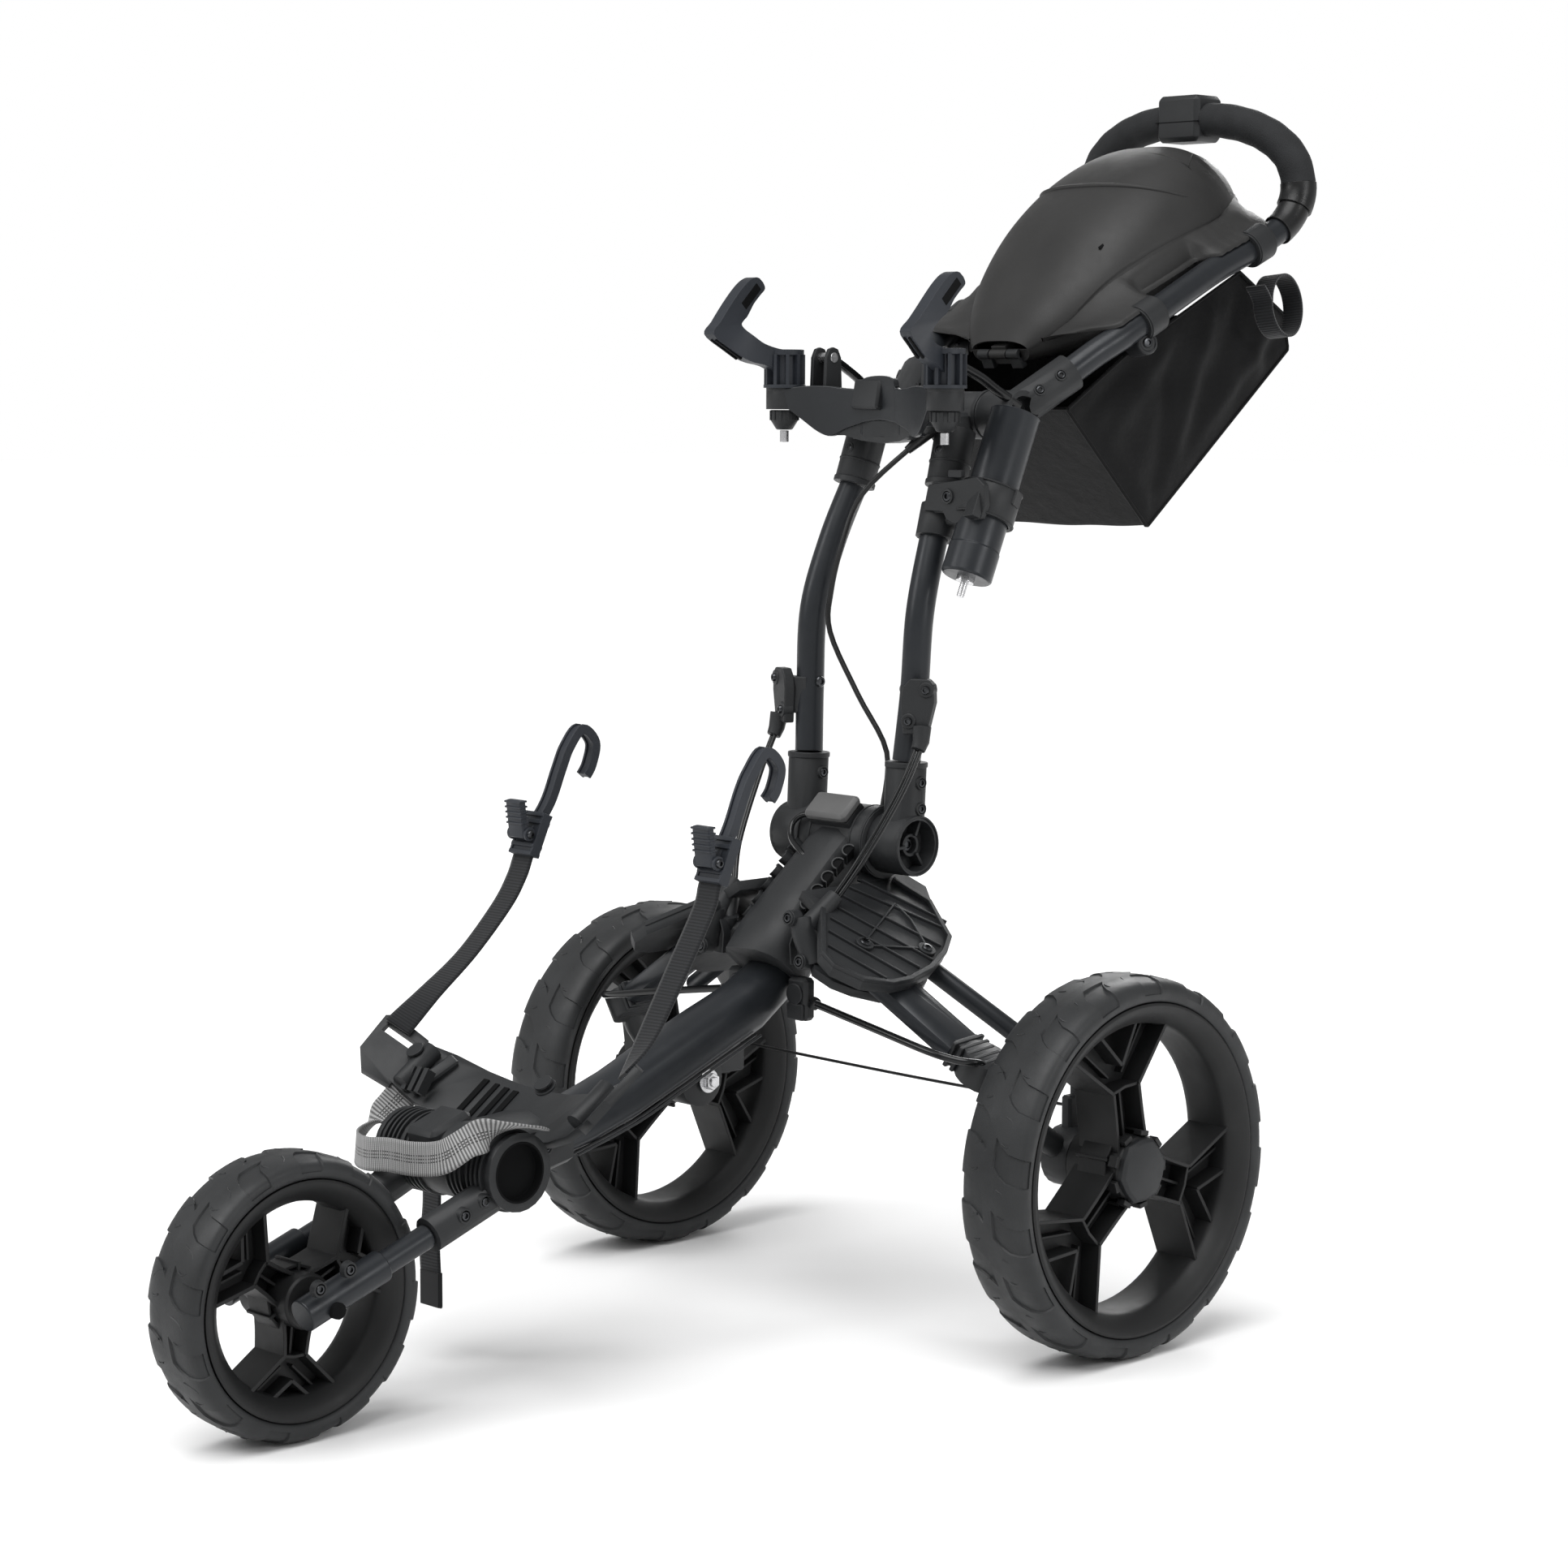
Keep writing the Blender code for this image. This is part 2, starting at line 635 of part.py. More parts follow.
# Upper frame: two sleeves on the hub, two tubes and the top saddle.
sleeve = union(
    "leg_sleeve_left",
    cylinder("a", (BARREL_IN, *HUB), (BARREL_OUT, *HUB), 0.0245, 24),
    cylinder("b", (0.0549, HUB[0] + 0.001, 0.385), (0.0549, -0.0207, 0.4435), 0.01635, 18),
)
sleeve = cut(
    sleeve,
    cylinder("c", (0.0560, *HUB), (0.0750, *HUB), 0.0205, 20),
    cylinder("d", (0.0300, *HUB), (0.0600, *HUB), 0.0065, 14),
)
hinge = (0, *HUB)
finish(mirrored(sleeve, "leg_sleeve_right"), "plastic", hinge)
finish(sleeve, "plastic", hinge)
finish(cylinder("hub_bolt", (-0.0545, *HUB), (0.0545, *HUB), 0.006, 12), "steel", hinge)


def curve_points(knots, per):
    """A smooth line through the knots, as a list of points."""
    line = []
    for i in range(len(knots) - 1):
        a = Vector(knots[max(i - 1, 0)])
        b = Vector(knots[i])
        c = Vector(knots[i + 1])
        d = Vector(knots[min(i + 2, len(knots) - 1)])
        for k in range(per):
            t = k / per
            line.append(
                0.5
                * (
                    2 * b
                    + (c - a) * t
                    + (2 * a - 5 * b + 4 * c - d) * t * t
                    + (3 * b - a - 3 * c + d) * t * t * t
                )
            )
    line.append(Vector(knots[-1]))
    return line


LEG_KNOTS = [
    (0.0549, -0.0206, 0.4444), (0.0585, -0.0160, 0.5000), (0.0594, -0.0114, 0.5607),
    (0.0560, 0.0060, 0.6150), (0.0516, 0.0256, 0.6588),
]
leg_line = curve_points(LEG_KNOTS, 3)
post = tube("leg_tube_left", leg_line, TUBE_R, 5, 1, False)
finish(mirrored(post, "leg_tube_right"), "tube", hinge)
finish(post, "tube", hinge)
clip = union(
    "stay_clip_left",
    cylinder("a", (0.0575, -0.0172, 0.478), (0.0586, -0.0161, 0.500), 0.0165, 16),
    box("b", (0.0760, -0.0240, 0.487), (0.026, 0.013, 0.030), (0, 0.1, 1), bevel=0.003),
    cylinder("c", (0.0805, -0.0275, 0.482), (0.0812, -0.0312, 0.4630), 0.0055, 10),
)
clip = cut(clip, tube("d", leg_line, TUBE_R + GAP, 5, 1, False))
finish(mirrored(clip, "stay_clip_right"), "plastic", hinge)
finish(clip, "plastic", hinge)
stay = [
    (0.0813, -0.0318, 0.4622), (0.0800, -0.0530, 0.4250), (0.0700, -0.0850, 0.3740),
    (0.0560, -0.1035, 0.3400),
]
stay_cable = tube("stay_cable_left", curve_points(stay, 4), 0.002, 3, 1, False)
finish(mirrored(stay_cable, "stay_cable_right"), "plastic")
finish(stay_cable, "plastic")

arch = []
for i in range(9):
    x = 0.0870 * (i - 4) / 4
    bow = (x / 0.0870) ** 2
    arch.append((x, 0.016 - 0.032 * bow, 0.711 + 0.0213 * bow, 0.0165 - 0.0117 * bow, 0.0105 + 0.0035 * bow))
rings = []
for x, y, z, half_h, half_t in arch:
    rings.append(
        [
            Vector((x, y - half_t, z - half_h)),
            Vector((x, y + half_t, z - half_h)),
            Vector((x, y + half_t, z + half_h)),
            Vector((x, y - half_t, z + half_h)),
        ]
    )
top = union("top_saddle", loft("s", rings), cylinder("b", (-0.044, *TOP), (0.044, *TOP), 0.0195, 22))
top = union(
    "top_saddle",
    top,
    box("web", (0, 0.047, 0.709), (0.074, 0.086, 0.018), (0, -0.06, 1), bevel=0.003),
    box("tab", (-0.012, 0.003, 0.733), (0.030, 0.011, 0.024), (0, 0.2, 1), bevel=0.002),
    box("ear_left", (0.0110, 0.0640, 0.7285), (0.0032, 0.013, 0.0290)),
    box("ear_right", (-0.0110, 0.0640, 0.7285), (0.0032, 0.013, 0.0290)),
)
for sign in (1, -1):
    top = union(
        "top_saddle",
        top,
        cylinder("socket", (sign * 0.0515, 0.0262, 0.6603), (sign * 0.0487, 0.0400, 0.7050), 0.0165, 18),
        cylinder("end", (sign * 0.0895, -0.0165, 0.7212), (sign * 0.0895, -0.0165, 0.7380), 0.0150, 16),
    )
top = cut(
    top,
    cylinder("c", (-0.05, *TOP), (0.05, *TOP), 0.0055, 12),
    cylinder("d", (0.0895, -0.0165, 0.71), (0.0895, -0.0165, 0.75), 0.0045, 12),
    cylinder("e", (-0.0895, -0.0165, 0.71), (-0.0895, -0.0165, 0.75), 0.0045, 12),
)
finish(top, "plastic", hinge)


def bar(name, start, end, width, height, across, bevel=0.002):
    start = Vector(start)
    end = Vector(end)
    size = (width, height, (end - start).length)
    return box(name, (start + end) / 2, size, end - start, across, bevel)


axis = Vector((0.0895, -0.0165, 0))
hook = union(
    "bag_prong_left",
    cylinder("a", axis + Vector((0, 0, 0.7384)), axis + Vector((0, 0, 0.7660)), 0.0160, 18),
    cylinder("b", axis + Vector((0, 0, 0.6960)), axis + Vector((0, 0, 0.7450)), 0.0040, 12),
    bar("c", (0.0905, -0.020, 0.7540), (0.0985, -0.050, 0.7700), 0.010, 0.020, (1, 0.2, 0)),
    bar("d", (0.0975, -0.046, 0.7680), (0.1115, -0.084, 0.7840), 0.010, 0.016, (1, 0.2, 0)),
    bar("e", (0.1110, -0.0830, 0.7795), (0.1111, -0.0342, 0.8225), 0.011, 0.0135, (1, 0, 0)),
)
finish(mirrored(hook, "bag_prong_right"), "hook", flip((0.0895, -0.0165, 0.752)))
finish(hook, "hook", (0.0895, -0.0165, 0.752))
nut = lathe(
    "prong_nut_left",
    [(0.0044, 0.0), (0.0065, 0.0), (0.0115, 0.0080), (0.0118, 0.0160), (0.0044, 0.0160)],
    Matrix.Translation((0.0895, -0.0165, 0.7046)),
    14,
)
finish(mirrored(nut, "prong_nut_right"), "plastic", flip((0.0895, -0.0165, 0.7125)))
finish(nut, "plastic", (0.0895, -0.0165, 0.7125))
fin = union(
    "handle_latch",
    box("a", (0.0, 0.0700, 0.7450), (0.012, 0.026, 0.016), (0, -0.5, 1), bevel=0.002),
    cylinder("b", (-0.009, 0.0640, 0.7370), (0.009, 0.0640, 0.7370), 0.0062, 12),
)
finish(fin, "button", (0, 0.0640, 0.7370))

tube_low = Vector((0.100, -0.0021, 0.5908))
tube_high = Vector((0.100, 0.0540, 0.7180))
tube_dir = (tube_high - tube_low).normalized()
cup = cylinder("umbrella_tube", tube_low, tube_high, 0.0205, 24)
stud = cylinder("stud", tube_low + tube_dir * 0.004, tube_low - tube_dir * 0.016, 0.0030, 10)
cup = union("umbrella_tube", cup, stud)
cup = cut(cup, cylinder("bore", tube_low + tube_dir * 0.012, tube_high + tube_dir * 0.01, 0.0175, 20))
finish(cup, "plastic", tube_low)
grip_mid = tube_low + tube_dir * 0.062
clamp = union(
    "umbrella_clamp",
    cylinder("a", grip_mid - tube_dir * 0.014, grip_mid + tube_dir * 0.014, 0.0238, 24),
    cylinder("b", (0.0559, 0.0085, 0.6200), (0.0536, 0.0176, 0.6450), 0.0155, 16),
    box("c", (0.0730, 0.0190, 0.6400), (0.024, 0.018, 0.024), tube_dir, bevel=0.002),
)
clamp = cut(
    clamp,
    cylinder("d", tube_low - tube_dir * 0.02, tube_high, 0.0208, 24),
    tube("e", leg_line, TUBE_R + GAP, 5, 1, False),
)
finish(clamp, "plastic", hinge)
brake = [
    (0.030, 0.0100, 0.6930), (0.002, -0.0180, 0.6550), (-0.026, -0.0120, 0.6150), (-0.038, -0.0130, 0.5750),
    (-0.036, -0.0160, 0.5420), (-0.006, -0.0140, 0.4930), (0.024, -0.0110, 0.4480), (0.0300, -0.0200, 0.4120),
]
finish(tube("brake_cable", curve_points(brake, 3), 0.0022, 3, 1, False), "plastic")

# Handle: loop, grips, console, bag.
HANDLE = [
    (0.0838, 0.1388, 0.7528), (0.0920, 0.1600, 0.7680), (0.1000, 0.1850, 0.7830), (0.1050, 0.2350, 0.8100),
    (0.1070, 0.2920, 0.8380), (0.1090, 0.3450, 0.8600), (0.1120, 0.3800, 0.8800), (0.1130, 0.3955, 0.9050),
    (0.1085, 0.3940, 0.9310), (0.0930, 0.3910, 0.9490), (0.0680, 0.3885, 0.9620), (0.0360, 0.3865, 0.9695),
    (0.0000, 0.3860, 0.9710),
]
half_line = curve_points(HANDLE, 2)
full_line = half_line + [flip(p) for p in half_line[-2::-1]]
handle_hinge = (0, *TOP)
finish(tube("handle_tube", full_line, TUBE_R, 4, 1, False), "tube", handle_hinge)
grip = tube("grip_left", half_line[14:23], 0.0148, 5, 1, False)
grip = cut(grip, tube("bore", half_line[12:25], TUBE_R + 3 * GAP, 4, 1, False))
finish(mirrored(grip, "grip_right"), "rubber", handle_hinge)
finish(grip, "rubber", handle_hinge)
knuckle = union(
    "handle_sleeve_left",
    cylinder("a", (0.0445, *TOP), (0.0780, *TOP), 0.0205, 22),
    cylinder("b", (0.0640, 0.0960, 0.7220), (0.0836, 0.1384, 0.7525), 0.0160, 18),
)
knuckle = cut(knuckle, cylinder("c", (0.0660, *TOP), (0.0800, *TOP), 0.0160, 20))
far_sleeve = mirrored(knuckle, "handle_sleeve_right")
far_sleeve = cut(far_sleeve, cylinder("d", (-0.0700, *TOP), (-0.0400, *TOP), 0.0055, 12))
finish(far_sleeve, "plastic", handle_hinge)
bolt = cylinder("bolt", (-0.0690, *TOP), (0.0700, *TOP), 0.005, 12)
knuckle = union("handle_sleeve_left", knuckle, bolt)
finish(knuckle, "plastic", handle_hinge)
block = box("accessory_block", (0, 0.387, 0.972), (0.046, 0.036, 0.040), bevel=0.004)
block = cut(block, tube("bore", full_line, TUBE_R + GAP, 4, 1, False))
finish(block, "plastic", handle_hinge)

S_DIR = Vector((0, math.cos(SLOPE), math.sin(SLOPE)))
H_DIR = Vector((0, -math.sin(SLOPE), math.cos(SLOPE)))
CONSOLE = Vector((0, CONSOLE_Y, CONSOLE_Z))
# Distance up the slope, half width, lid height, tray depth.
STATIONS = [
    (-0.004, 0.030, 0.010, 0.010), (0.018, 0.050, 0.026, 0.018), (0.060, 0.074, 0.046, 0.030),
    (0.110, 0.088, 0.065, 0.038), (0.160, 0.0920, 0.0755, 0.040), (0.205, 0.0870, 0.0770, 0.038),
    (0.240, 0.0750, 0.0700, 0.032), (0.268, 0.0560, 0.0520, 0.024), (0.284, 0.0330, 0.0260, 0.014),
]


def shell_body(name, shrink, sign, floor, steps=11):
    """The lid (sign 1) or tray (sign -1) volume, shrunk evenly for the inside."""
    rings = []
    for i, (s, w, high, deep) in enumerate(STATIONS):
        tall = (high if sign > 0 else deep) - shrink
        ends = shrink if i == 0 else (-shrink if i == len(STATIONS) - 1 else 0)
        base = CONSOLE + S_DIR * (s + ends)
        ring = []
        for k in range(steps):
            a = math.pi * k / (steps - 1)
            x = (w - shrink) * math.copysign(abs(math.cos(a)) ** 0.75, math.cos(a))
            rise = sign * (floor + (tall - floor) * math.sin(a) ** 0.85)
            ring.append(base + Vector((x, 0, 0)) + H_DIR * rise)
        rings.append(ring)
    return loft(name, rings)


def open_shell(name, sign, floor):
    body = shell_body(name, 0.0, sign, floor)
    hollow = shell_body("hollow", 0.0024, sign, floor - 0.004)
    return cut(body, hollow)


lid = open_shell("console_lid", 1, GAP)
lid_hinge = CONSOLE + S_DIR * -0.006
finish(lid, "lid", lid_hinge, 50)
tray = open_shell("console_tray", -1, GAP)
for sign in (1, -1):
    for first, last, reach in ((4, 6, 0.072), (9, 11, 0.090)):
        a = half_line[first]
        b = half_line[last]
        a = Vector((sign * a.x, a.y, a.z))
        b = Vector((sign * b.x, b.y, b.z))
        mid = (a + b) / 2
        along = (b - a).normalized()
        ring = cylinder("ring", mid - along * 0.010, mid + along * 0.010, 0.0155, 16)
        s = (mid - CONSOLE).dot(S_DIR)
        arm = box(
            "arm",
            CONSOLE + S_DIR * s + Vector((sign * (reach + 0.004), 0, 0)) - H_DIR * 0.0095,
            (abs(mid.x) - reach + 0.006, 0.018, 0.010),
            H_DIR,
            (1, 0, 0),
            0.0015,
        )
        tray = union("console_tray", tray, ring, arm)
tray = cut(tray, tube("bore", full_line, TUBE_R + GAP, 4, 1, False))
finish(tray, "plastic", handle_hinge)


def prism(name, outline, half):
    rings = []
    for x in (-half, half):
        rings.append([Vector((x, y, z)) for y, z in outline])
    return loft(name, rings)


OUTLINE = [(0.131, 0.7225), (0.234, 0.625), (0.420, 0.774), (0.413, 0.803), (0.350, 0.838), (0.205, 0.768)]
INSIDE = [(0.1350, 0.722), (0.234, 0.628), (0.417, 0.775), (0.4105, 0.801), (0.403, 0.870), (0.125, 0.750)]
bag = prism("storage_bag", OUTLINE, 0.0885)
bag = cut(bag, prism("inside", INSIDE, 0.0865))
finish(bag, "fabric", handle_hinge, 30)
band = lathe(
    "velcro_loop",
    [(0.0245, -0.009), (0.0275, -0.009), (0.0275, 0.009), (0.0245, 0.009)],
    facing((0.1160, 0.3670, 0.8095), (1, 0.15, 0.1)),
    22,
)
tab = box("tab", (0.1160, 0.3420, 0.8210), (0.006, 0.016, 0.018), (0, 0.5, 1), bevel=0.001)
band = union("velcro_loop", band, tab)
finish(band, "fabric", handle_hinge)


# Bag straps: webbing, hook and cam lever on each side of the cradle.
def strap(side, x, web, body_at, line, cam_at):
    slot = (x, -0.3850, 0.2470)
    lean = math.copysign(1.0, x)
    path = [((x, y, z), (1, 0, 0)) for y, z in web]
    path[0] = (path[0][0], (0.81, -0.33 * lean, 0.48 * lean))
    path[1] = (path[1][0], (0.95, 0, 0.22 * lean))
    finish(ribbon("strap_web_" + side, path, 0.0235, 0.0016), "fabric", slot)
    bend = curve_points([(x, y, z) for y, z in line], 2)
    hook = tube("hook", bend, 0.0046, 4, 1, False)
    body = box("body", (x, *body_at), (0.024, 0.009, 0.036), (0, 0.45, 1), bevel=0.002)
    finish(union("strap_hook_" + side, hook, body), "hook", slot)
    pin_y = cam_at[0] + 0.004
    pin_z = cam_at[1] - 0.012
    lever = union(
        "strap_cam_" + side,
        box("a", (x, *cam_at), (0.018, 0.006, 0.030), (0, -0.12, 1), bevel=0.001),
        cylinder("b", (x - 0.011, pin_y, pin_z), (x + 0.011, pin_y, pin_z), 0.0032, 10),
    )
    finish(lever, "hook", (x, pin_y, pin_z))


RIGHT_WEB = [
    (-0.3890, 0.2510), (-0.3590, 0.2730), (-0.3200, 0.3010), (-0.2850, 0.3350), (-0.2700, 0.3560),
    (-0.2635, 0.3705),
]
RIGHT_HOOK = [
    (-0.2560, 0.3900), (-0.2380, 0.4120), (-0.2260, 0.4380), (-0.2175, 0.4550), (-0.2040, 0.4685),
    (-0.1905, 0.4570), (-0.1940, 0.4400), (-0.2000, 0.4310),
]
LEFT_WEB = [(-0.3890, 0.2500), (-0.3665, 0.2740), (-0.3350, 0.3220), (-0.3100, 0.3620), (-0.3045, 0.3780)]
LEFT_HOOK = [
    (-0.2960, 0.3980), (-0.2830, 0.4200), (-0.2720, 0.4450), (-0.2635, 0.4590), (-0.2500, 0.4725),
    (-0.2365, 0.4610), (-0.2400, 0.4450), (-0.2460, 0.4370),
]
strap("right", -0.129, RIGHT_WEB, (-0.2555, 0.3885), RIGHT_HOOK, (-0.2690, 0.4020))
strap("left", 0.129, LEFT_WEB, (-0.2960, 0.3965), LEFT_HOOK, (-0.3095, 0.4080))

for obj in list(parts.objects):
    obj.location.y += SHIFT_Y
bpy.context.view_layer.update()
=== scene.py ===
"""Looks for the folding golf push cart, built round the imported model.

Places are in metres, measured like the design: X and Z as in the frame, and Y from the
rear axle line, which at() turns into the frame's own Y.
"""

import json
import math

import bmesh
import bpy
from mathutils import Matrix, Vector, noise

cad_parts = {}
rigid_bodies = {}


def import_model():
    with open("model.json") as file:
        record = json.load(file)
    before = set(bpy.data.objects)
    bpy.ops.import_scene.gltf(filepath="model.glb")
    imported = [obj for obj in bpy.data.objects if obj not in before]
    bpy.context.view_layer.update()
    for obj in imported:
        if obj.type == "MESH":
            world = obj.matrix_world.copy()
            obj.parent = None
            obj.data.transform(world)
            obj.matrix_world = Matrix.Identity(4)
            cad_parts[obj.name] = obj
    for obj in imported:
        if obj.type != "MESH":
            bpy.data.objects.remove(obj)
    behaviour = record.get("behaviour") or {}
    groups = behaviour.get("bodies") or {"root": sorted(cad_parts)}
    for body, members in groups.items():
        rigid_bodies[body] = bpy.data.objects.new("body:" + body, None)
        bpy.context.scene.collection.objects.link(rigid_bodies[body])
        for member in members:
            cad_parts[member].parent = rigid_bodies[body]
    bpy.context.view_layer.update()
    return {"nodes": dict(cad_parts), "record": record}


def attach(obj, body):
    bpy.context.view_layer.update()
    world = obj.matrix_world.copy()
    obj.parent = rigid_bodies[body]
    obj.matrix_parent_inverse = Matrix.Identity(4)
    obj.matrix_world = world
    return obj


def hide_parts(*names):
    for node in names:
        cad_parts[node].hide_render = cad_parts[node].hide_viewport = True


for old in list(bpy.data.objects):
    bpy.data.objects.remove(old, do_unlink=True)
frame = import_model()
scene = bpy.context.scene

SHIFT_Y = 0.1369  # from the rear axle line to the frame's origin
TUBE_R = 0.01135  # radius of the frame tubes
REAR_R, REAR_X = 0.1475, 0.2602  # rear wheels: radius, and distance from the middle
FRONT_R, FRONT_Y = 0.1022, -0.5916
SLOPE = math.radians(28.0)  # of the console, up towards the back
LEG_NORMAL = Vector((0.52, 0.0, 0.854)).normalized()  # out of the plane of the left rear leg
ACROSS = Vector((1, 0, 0))
SIDES = (("left", 1), ("right", -1))


def at(x, y, z):
    return Vector((x, y + SHIFT_Y, z))


def facing(origin, zdir, xdir=(0, 0, 1)):
    """A matrix that puts local Z along zdir and local X as near xdir as it can."""
    z = Vector(zdir).normalized()
    x = Vector(xdir)
    x = x - z * x.dot(z)
    if x.length < 1e-6:
        x = z.orthogonal()
    x.normalize()
    turn = Matrix((x, z.cross(x), z)).transposed().to_4x4()
    return Matrix.Translation(Vector(origin)) @ turn


# ---------------------------------------------------------------- materials
class Surface:
    """A Principled material with its procedural detail, in the piece's own coordinates."""

    def __init__(self, name, colour, rough, metal=0.0, shine=0.32):
        self.material = bpy.data.materials.new(name)
        self.material.use_nodes = True
        self.tree = self.material.node_tree
        self.shader = self.tree.nodes["Principled BSDF"]
        self.shader.inputs["Base Color"].default_value = (*colour, 1)
        self.shader.inputs["Roughness"].default_value = rough
        self.shader.inputs["Metallic"].default_value = metal
        self.shader.inputs["Specular IOR Level"].default_value = shine
        self.material.diffuse_color = (*colour, 1)
        self.colour = colour
        self.rough = rough
        self.place = self.node("ShaderNodeTexCoord")
        self.bumps = None

    def node(self, kind, **settings):
        made = self.tree.nodes.new(kind)
        for key, value in settings.items():
            setattr(made, key, value)
        return made

    def link(self, start, end):
        self.tree.links.new(start, end)

    def noise(self, scale, detail=2.0, rough=0.5):
        made = self.node("ShaderNodeTexNoise")
        made.inputs["Scale"].default_value = scale
        made.inputs["Detail"].default_value = detail
        made.inputs["Roughness"].default_value = rough
        self.link(self.place.outputs["Object"], made.inputs["Vector"])
        return made.outputs["Fac"]

    def ramp(self, source, low, high, first=0.35, last=0.65):
        made = self.node("ShaderNodeValToRGB")
        made.color_ramp.elements[0].position = first
        made.color_ramp.elements[0].color = (*low, 1)
        made.color_ramp.elements[1].position = last
        made.color_ramp.elements[1].color = (*high, 1)
        self.link(source, made.inputs["Fac"])
        return made.outputs["Color"]

    def tone(self, scale, spread):
        """Slow changes of tone over the surface."""
        dark = [c * (1 - spread) for c in self.colour]
        light = [c * (1 + spread) for c in self.colour]
        self.link(self.ramp(self.noise(scale, 4.0), dark, light), self.shader.inputs["Base Color"])

    def gloss(self, scale, spread):
        made = self.node("ShaderNodeMapRange")
        made.inputs["From Min"].default_value = 0.3
        made.inputs["From Max"].default_value = 0.7
        made.inputs["To Min"].default_value = self.rough - spread
        made.inputs["To Max"].default_value = self.rough + spread
        self.link(self.noise(scale, 5.0, 0.6), made.inputs["Value"])
        self.link(made.outputs["Result"], self.shader.inputs["Roughness"])

    def bump(self, source, strength, depth):
        made = self.node("ShaderNodeBump")
        made.inputs["Strength"].default_value = strength
        made.inputs["Distance"].default_value = depth
        self.link(source, made.inputs["Height"])
        if self.bumps:
            self.link(self.bumps, made.inputs["Normal"])
        self.bumps = made.outputs["Normal"]
        self.link(self.bumps, self.shader.inputs["Normal"])

    def wave(self, scale, direction):
        made = self.node("ShaderNodeTexWave", bands_direction=direction)
        made.inputs["Scale"].default_value = scale
        self.link(self.place.outputs["UV"], made.inputs["Vector"])
        return made.outputs["Fac"]

    def math(self, operation, first, second):
        made = self.node("ShaderNodeMath", operation=operation)
        for socket, value in zip(made.inputs, (first, second)):
            if isinstance(value, (int, float)):
                socket.default_value = value
            else:
                self.link(value, socket)
        return made.outputs["Value"]


def moulded(name, colour, rough, grain=0.35, **more):
    """Spark-eroded nylon: a fine grain, a little uneven in tone and shine."""
    made = Surface(name, colour, rough, **more)
    made.tone(18, 0.12)
    made.gloss(45, 0.05)
    made.bump(made.noise(1500, 3.0), grain, 0.00025)
    made.bump(made.noise(55, 2.0), 0.12, 0.0012)
    return made.material


def painted(name, colour, rough, metal):
    """Satin powder coat on aluminium."""
    made = Surface(name, colour, rough, metal)
    made.tone(9, 0.08)
    made.gloss(70, 0.05)
    made.bump(made.noise(900, 2.0), 0.1, 0.0002)
    return made.material


def rubbery(name, colour, rough):
    made = Surface(name, colour, rough)
    made.tone(26, 0.16)
    made.gloss(60, 0.08)
    made.bump(made.noise(1100, 4.0), 0.35, 0.0003)
    made.bump(made.noise(120, 3.0), 0.15, 0.0008)
    return made.material


def metal(name, colour, rough):
    made = Surface(name, colour, rough, 1.0)
    made.tone(140, 0.1)
    made.gloss(400, 0.07)
    made.bump(made.noise(1400, 2.0), 0.08, 0.0001)
    return made.material


def webbing(name, colour, light, rows=()):
    """Woven tape: cross ribs over cords, and rows of dark stitches. UV is in metres."""
    made = Surface(name, colour, 0.86)
    ribs = made.wave(125, "X")
    cords = made.wave(330, "Y")
    weave = made.math("MULTIPLY", ribs, made.math("ADD", made.math("MULTIPLY", cords, 0.4), 0.6))
    dark = [c * 0.5 for c in colour]
    woven = made.ramp(weave, dark, light, 0.1, 0.75)
    if rows:
        apart = made.node("ShaderNodeSeparateXYZ")
        made.link(made.place.outputs["UV"], apart.inputs["Vector"])
        thread = 0.0
        for row in rows:
            gap = made.math("ABSOLUTE", made.math("SUBTRACT", apart.outputs["Y"], row), 0.0)
            thread = made.math("MAXIMUM", thread, made.math("LESS_THAN", gap, 0.00055))
        step = made.math("FRACT", made.math("MULTIPLY", apart.outputs["X"], 330.0), 0.0)
        stitch = made.math("MULTIPLY", thread, made.math("GREATER_THAN", step, 0.35))
        mix = made.node("ShaderNodeMix", data_type="RGBA")
        made.link(stitch, mix.inputs[0])
        made.link(woven, mix.inputs[6])
        mix.inputs[7].default_value = (*[c * 0.25 for c in colour], 1)
        woven = mix.outputs[2]
    made.link(woven, made.shader.inputs["Base Color"])
    made.bump(weave, 0.55, 0.0006)
    made.shader.inputs["Sheen Weight"].default_value = 0.15
    return made.material


def nylon(name, colour):
    """Coated bag cloth: a tight plain weave with a slight sheen."""
    made = Surface(name, colour, 0.66, shine=0.14)
    warp = made.wave(420, "X")
    weft = made.wave(420, "Y")
    weave = made.math("MULTIPLY", warp, weft)
    dark = [c * 0.6 for c in colour]
    light = [c * 1.5 for c in colour]
    made.link(made.ramp(weave, dark, light, 0.1, 0.8), made.shader.inputs["Base Color"])
    made.bump(weave, 0.35, 0.0004)
    made.bump(made.noise(42, 5.0, 0.6), 0.35, 0.004)
    made.shader.inputs["Sheen Weight"].default_value = 0.04
    return made.material


def foam(name, colour):
    made = Surface(name, colour, 0.82)
    made.tone(60, 0.15)
    cells = made.node("ShaderNodeTexVoronoi")
    cells.inputs["Scale"].default_value = 900
    made.link(made.place.outputs["Object"], cells.inputs["Vector"])
    made.bump(cells.outputs["Distance"], 0.5, 0.0004)
    made.bump(made.noise(90, 3.0), 0.2, 0.001)
    return made.material


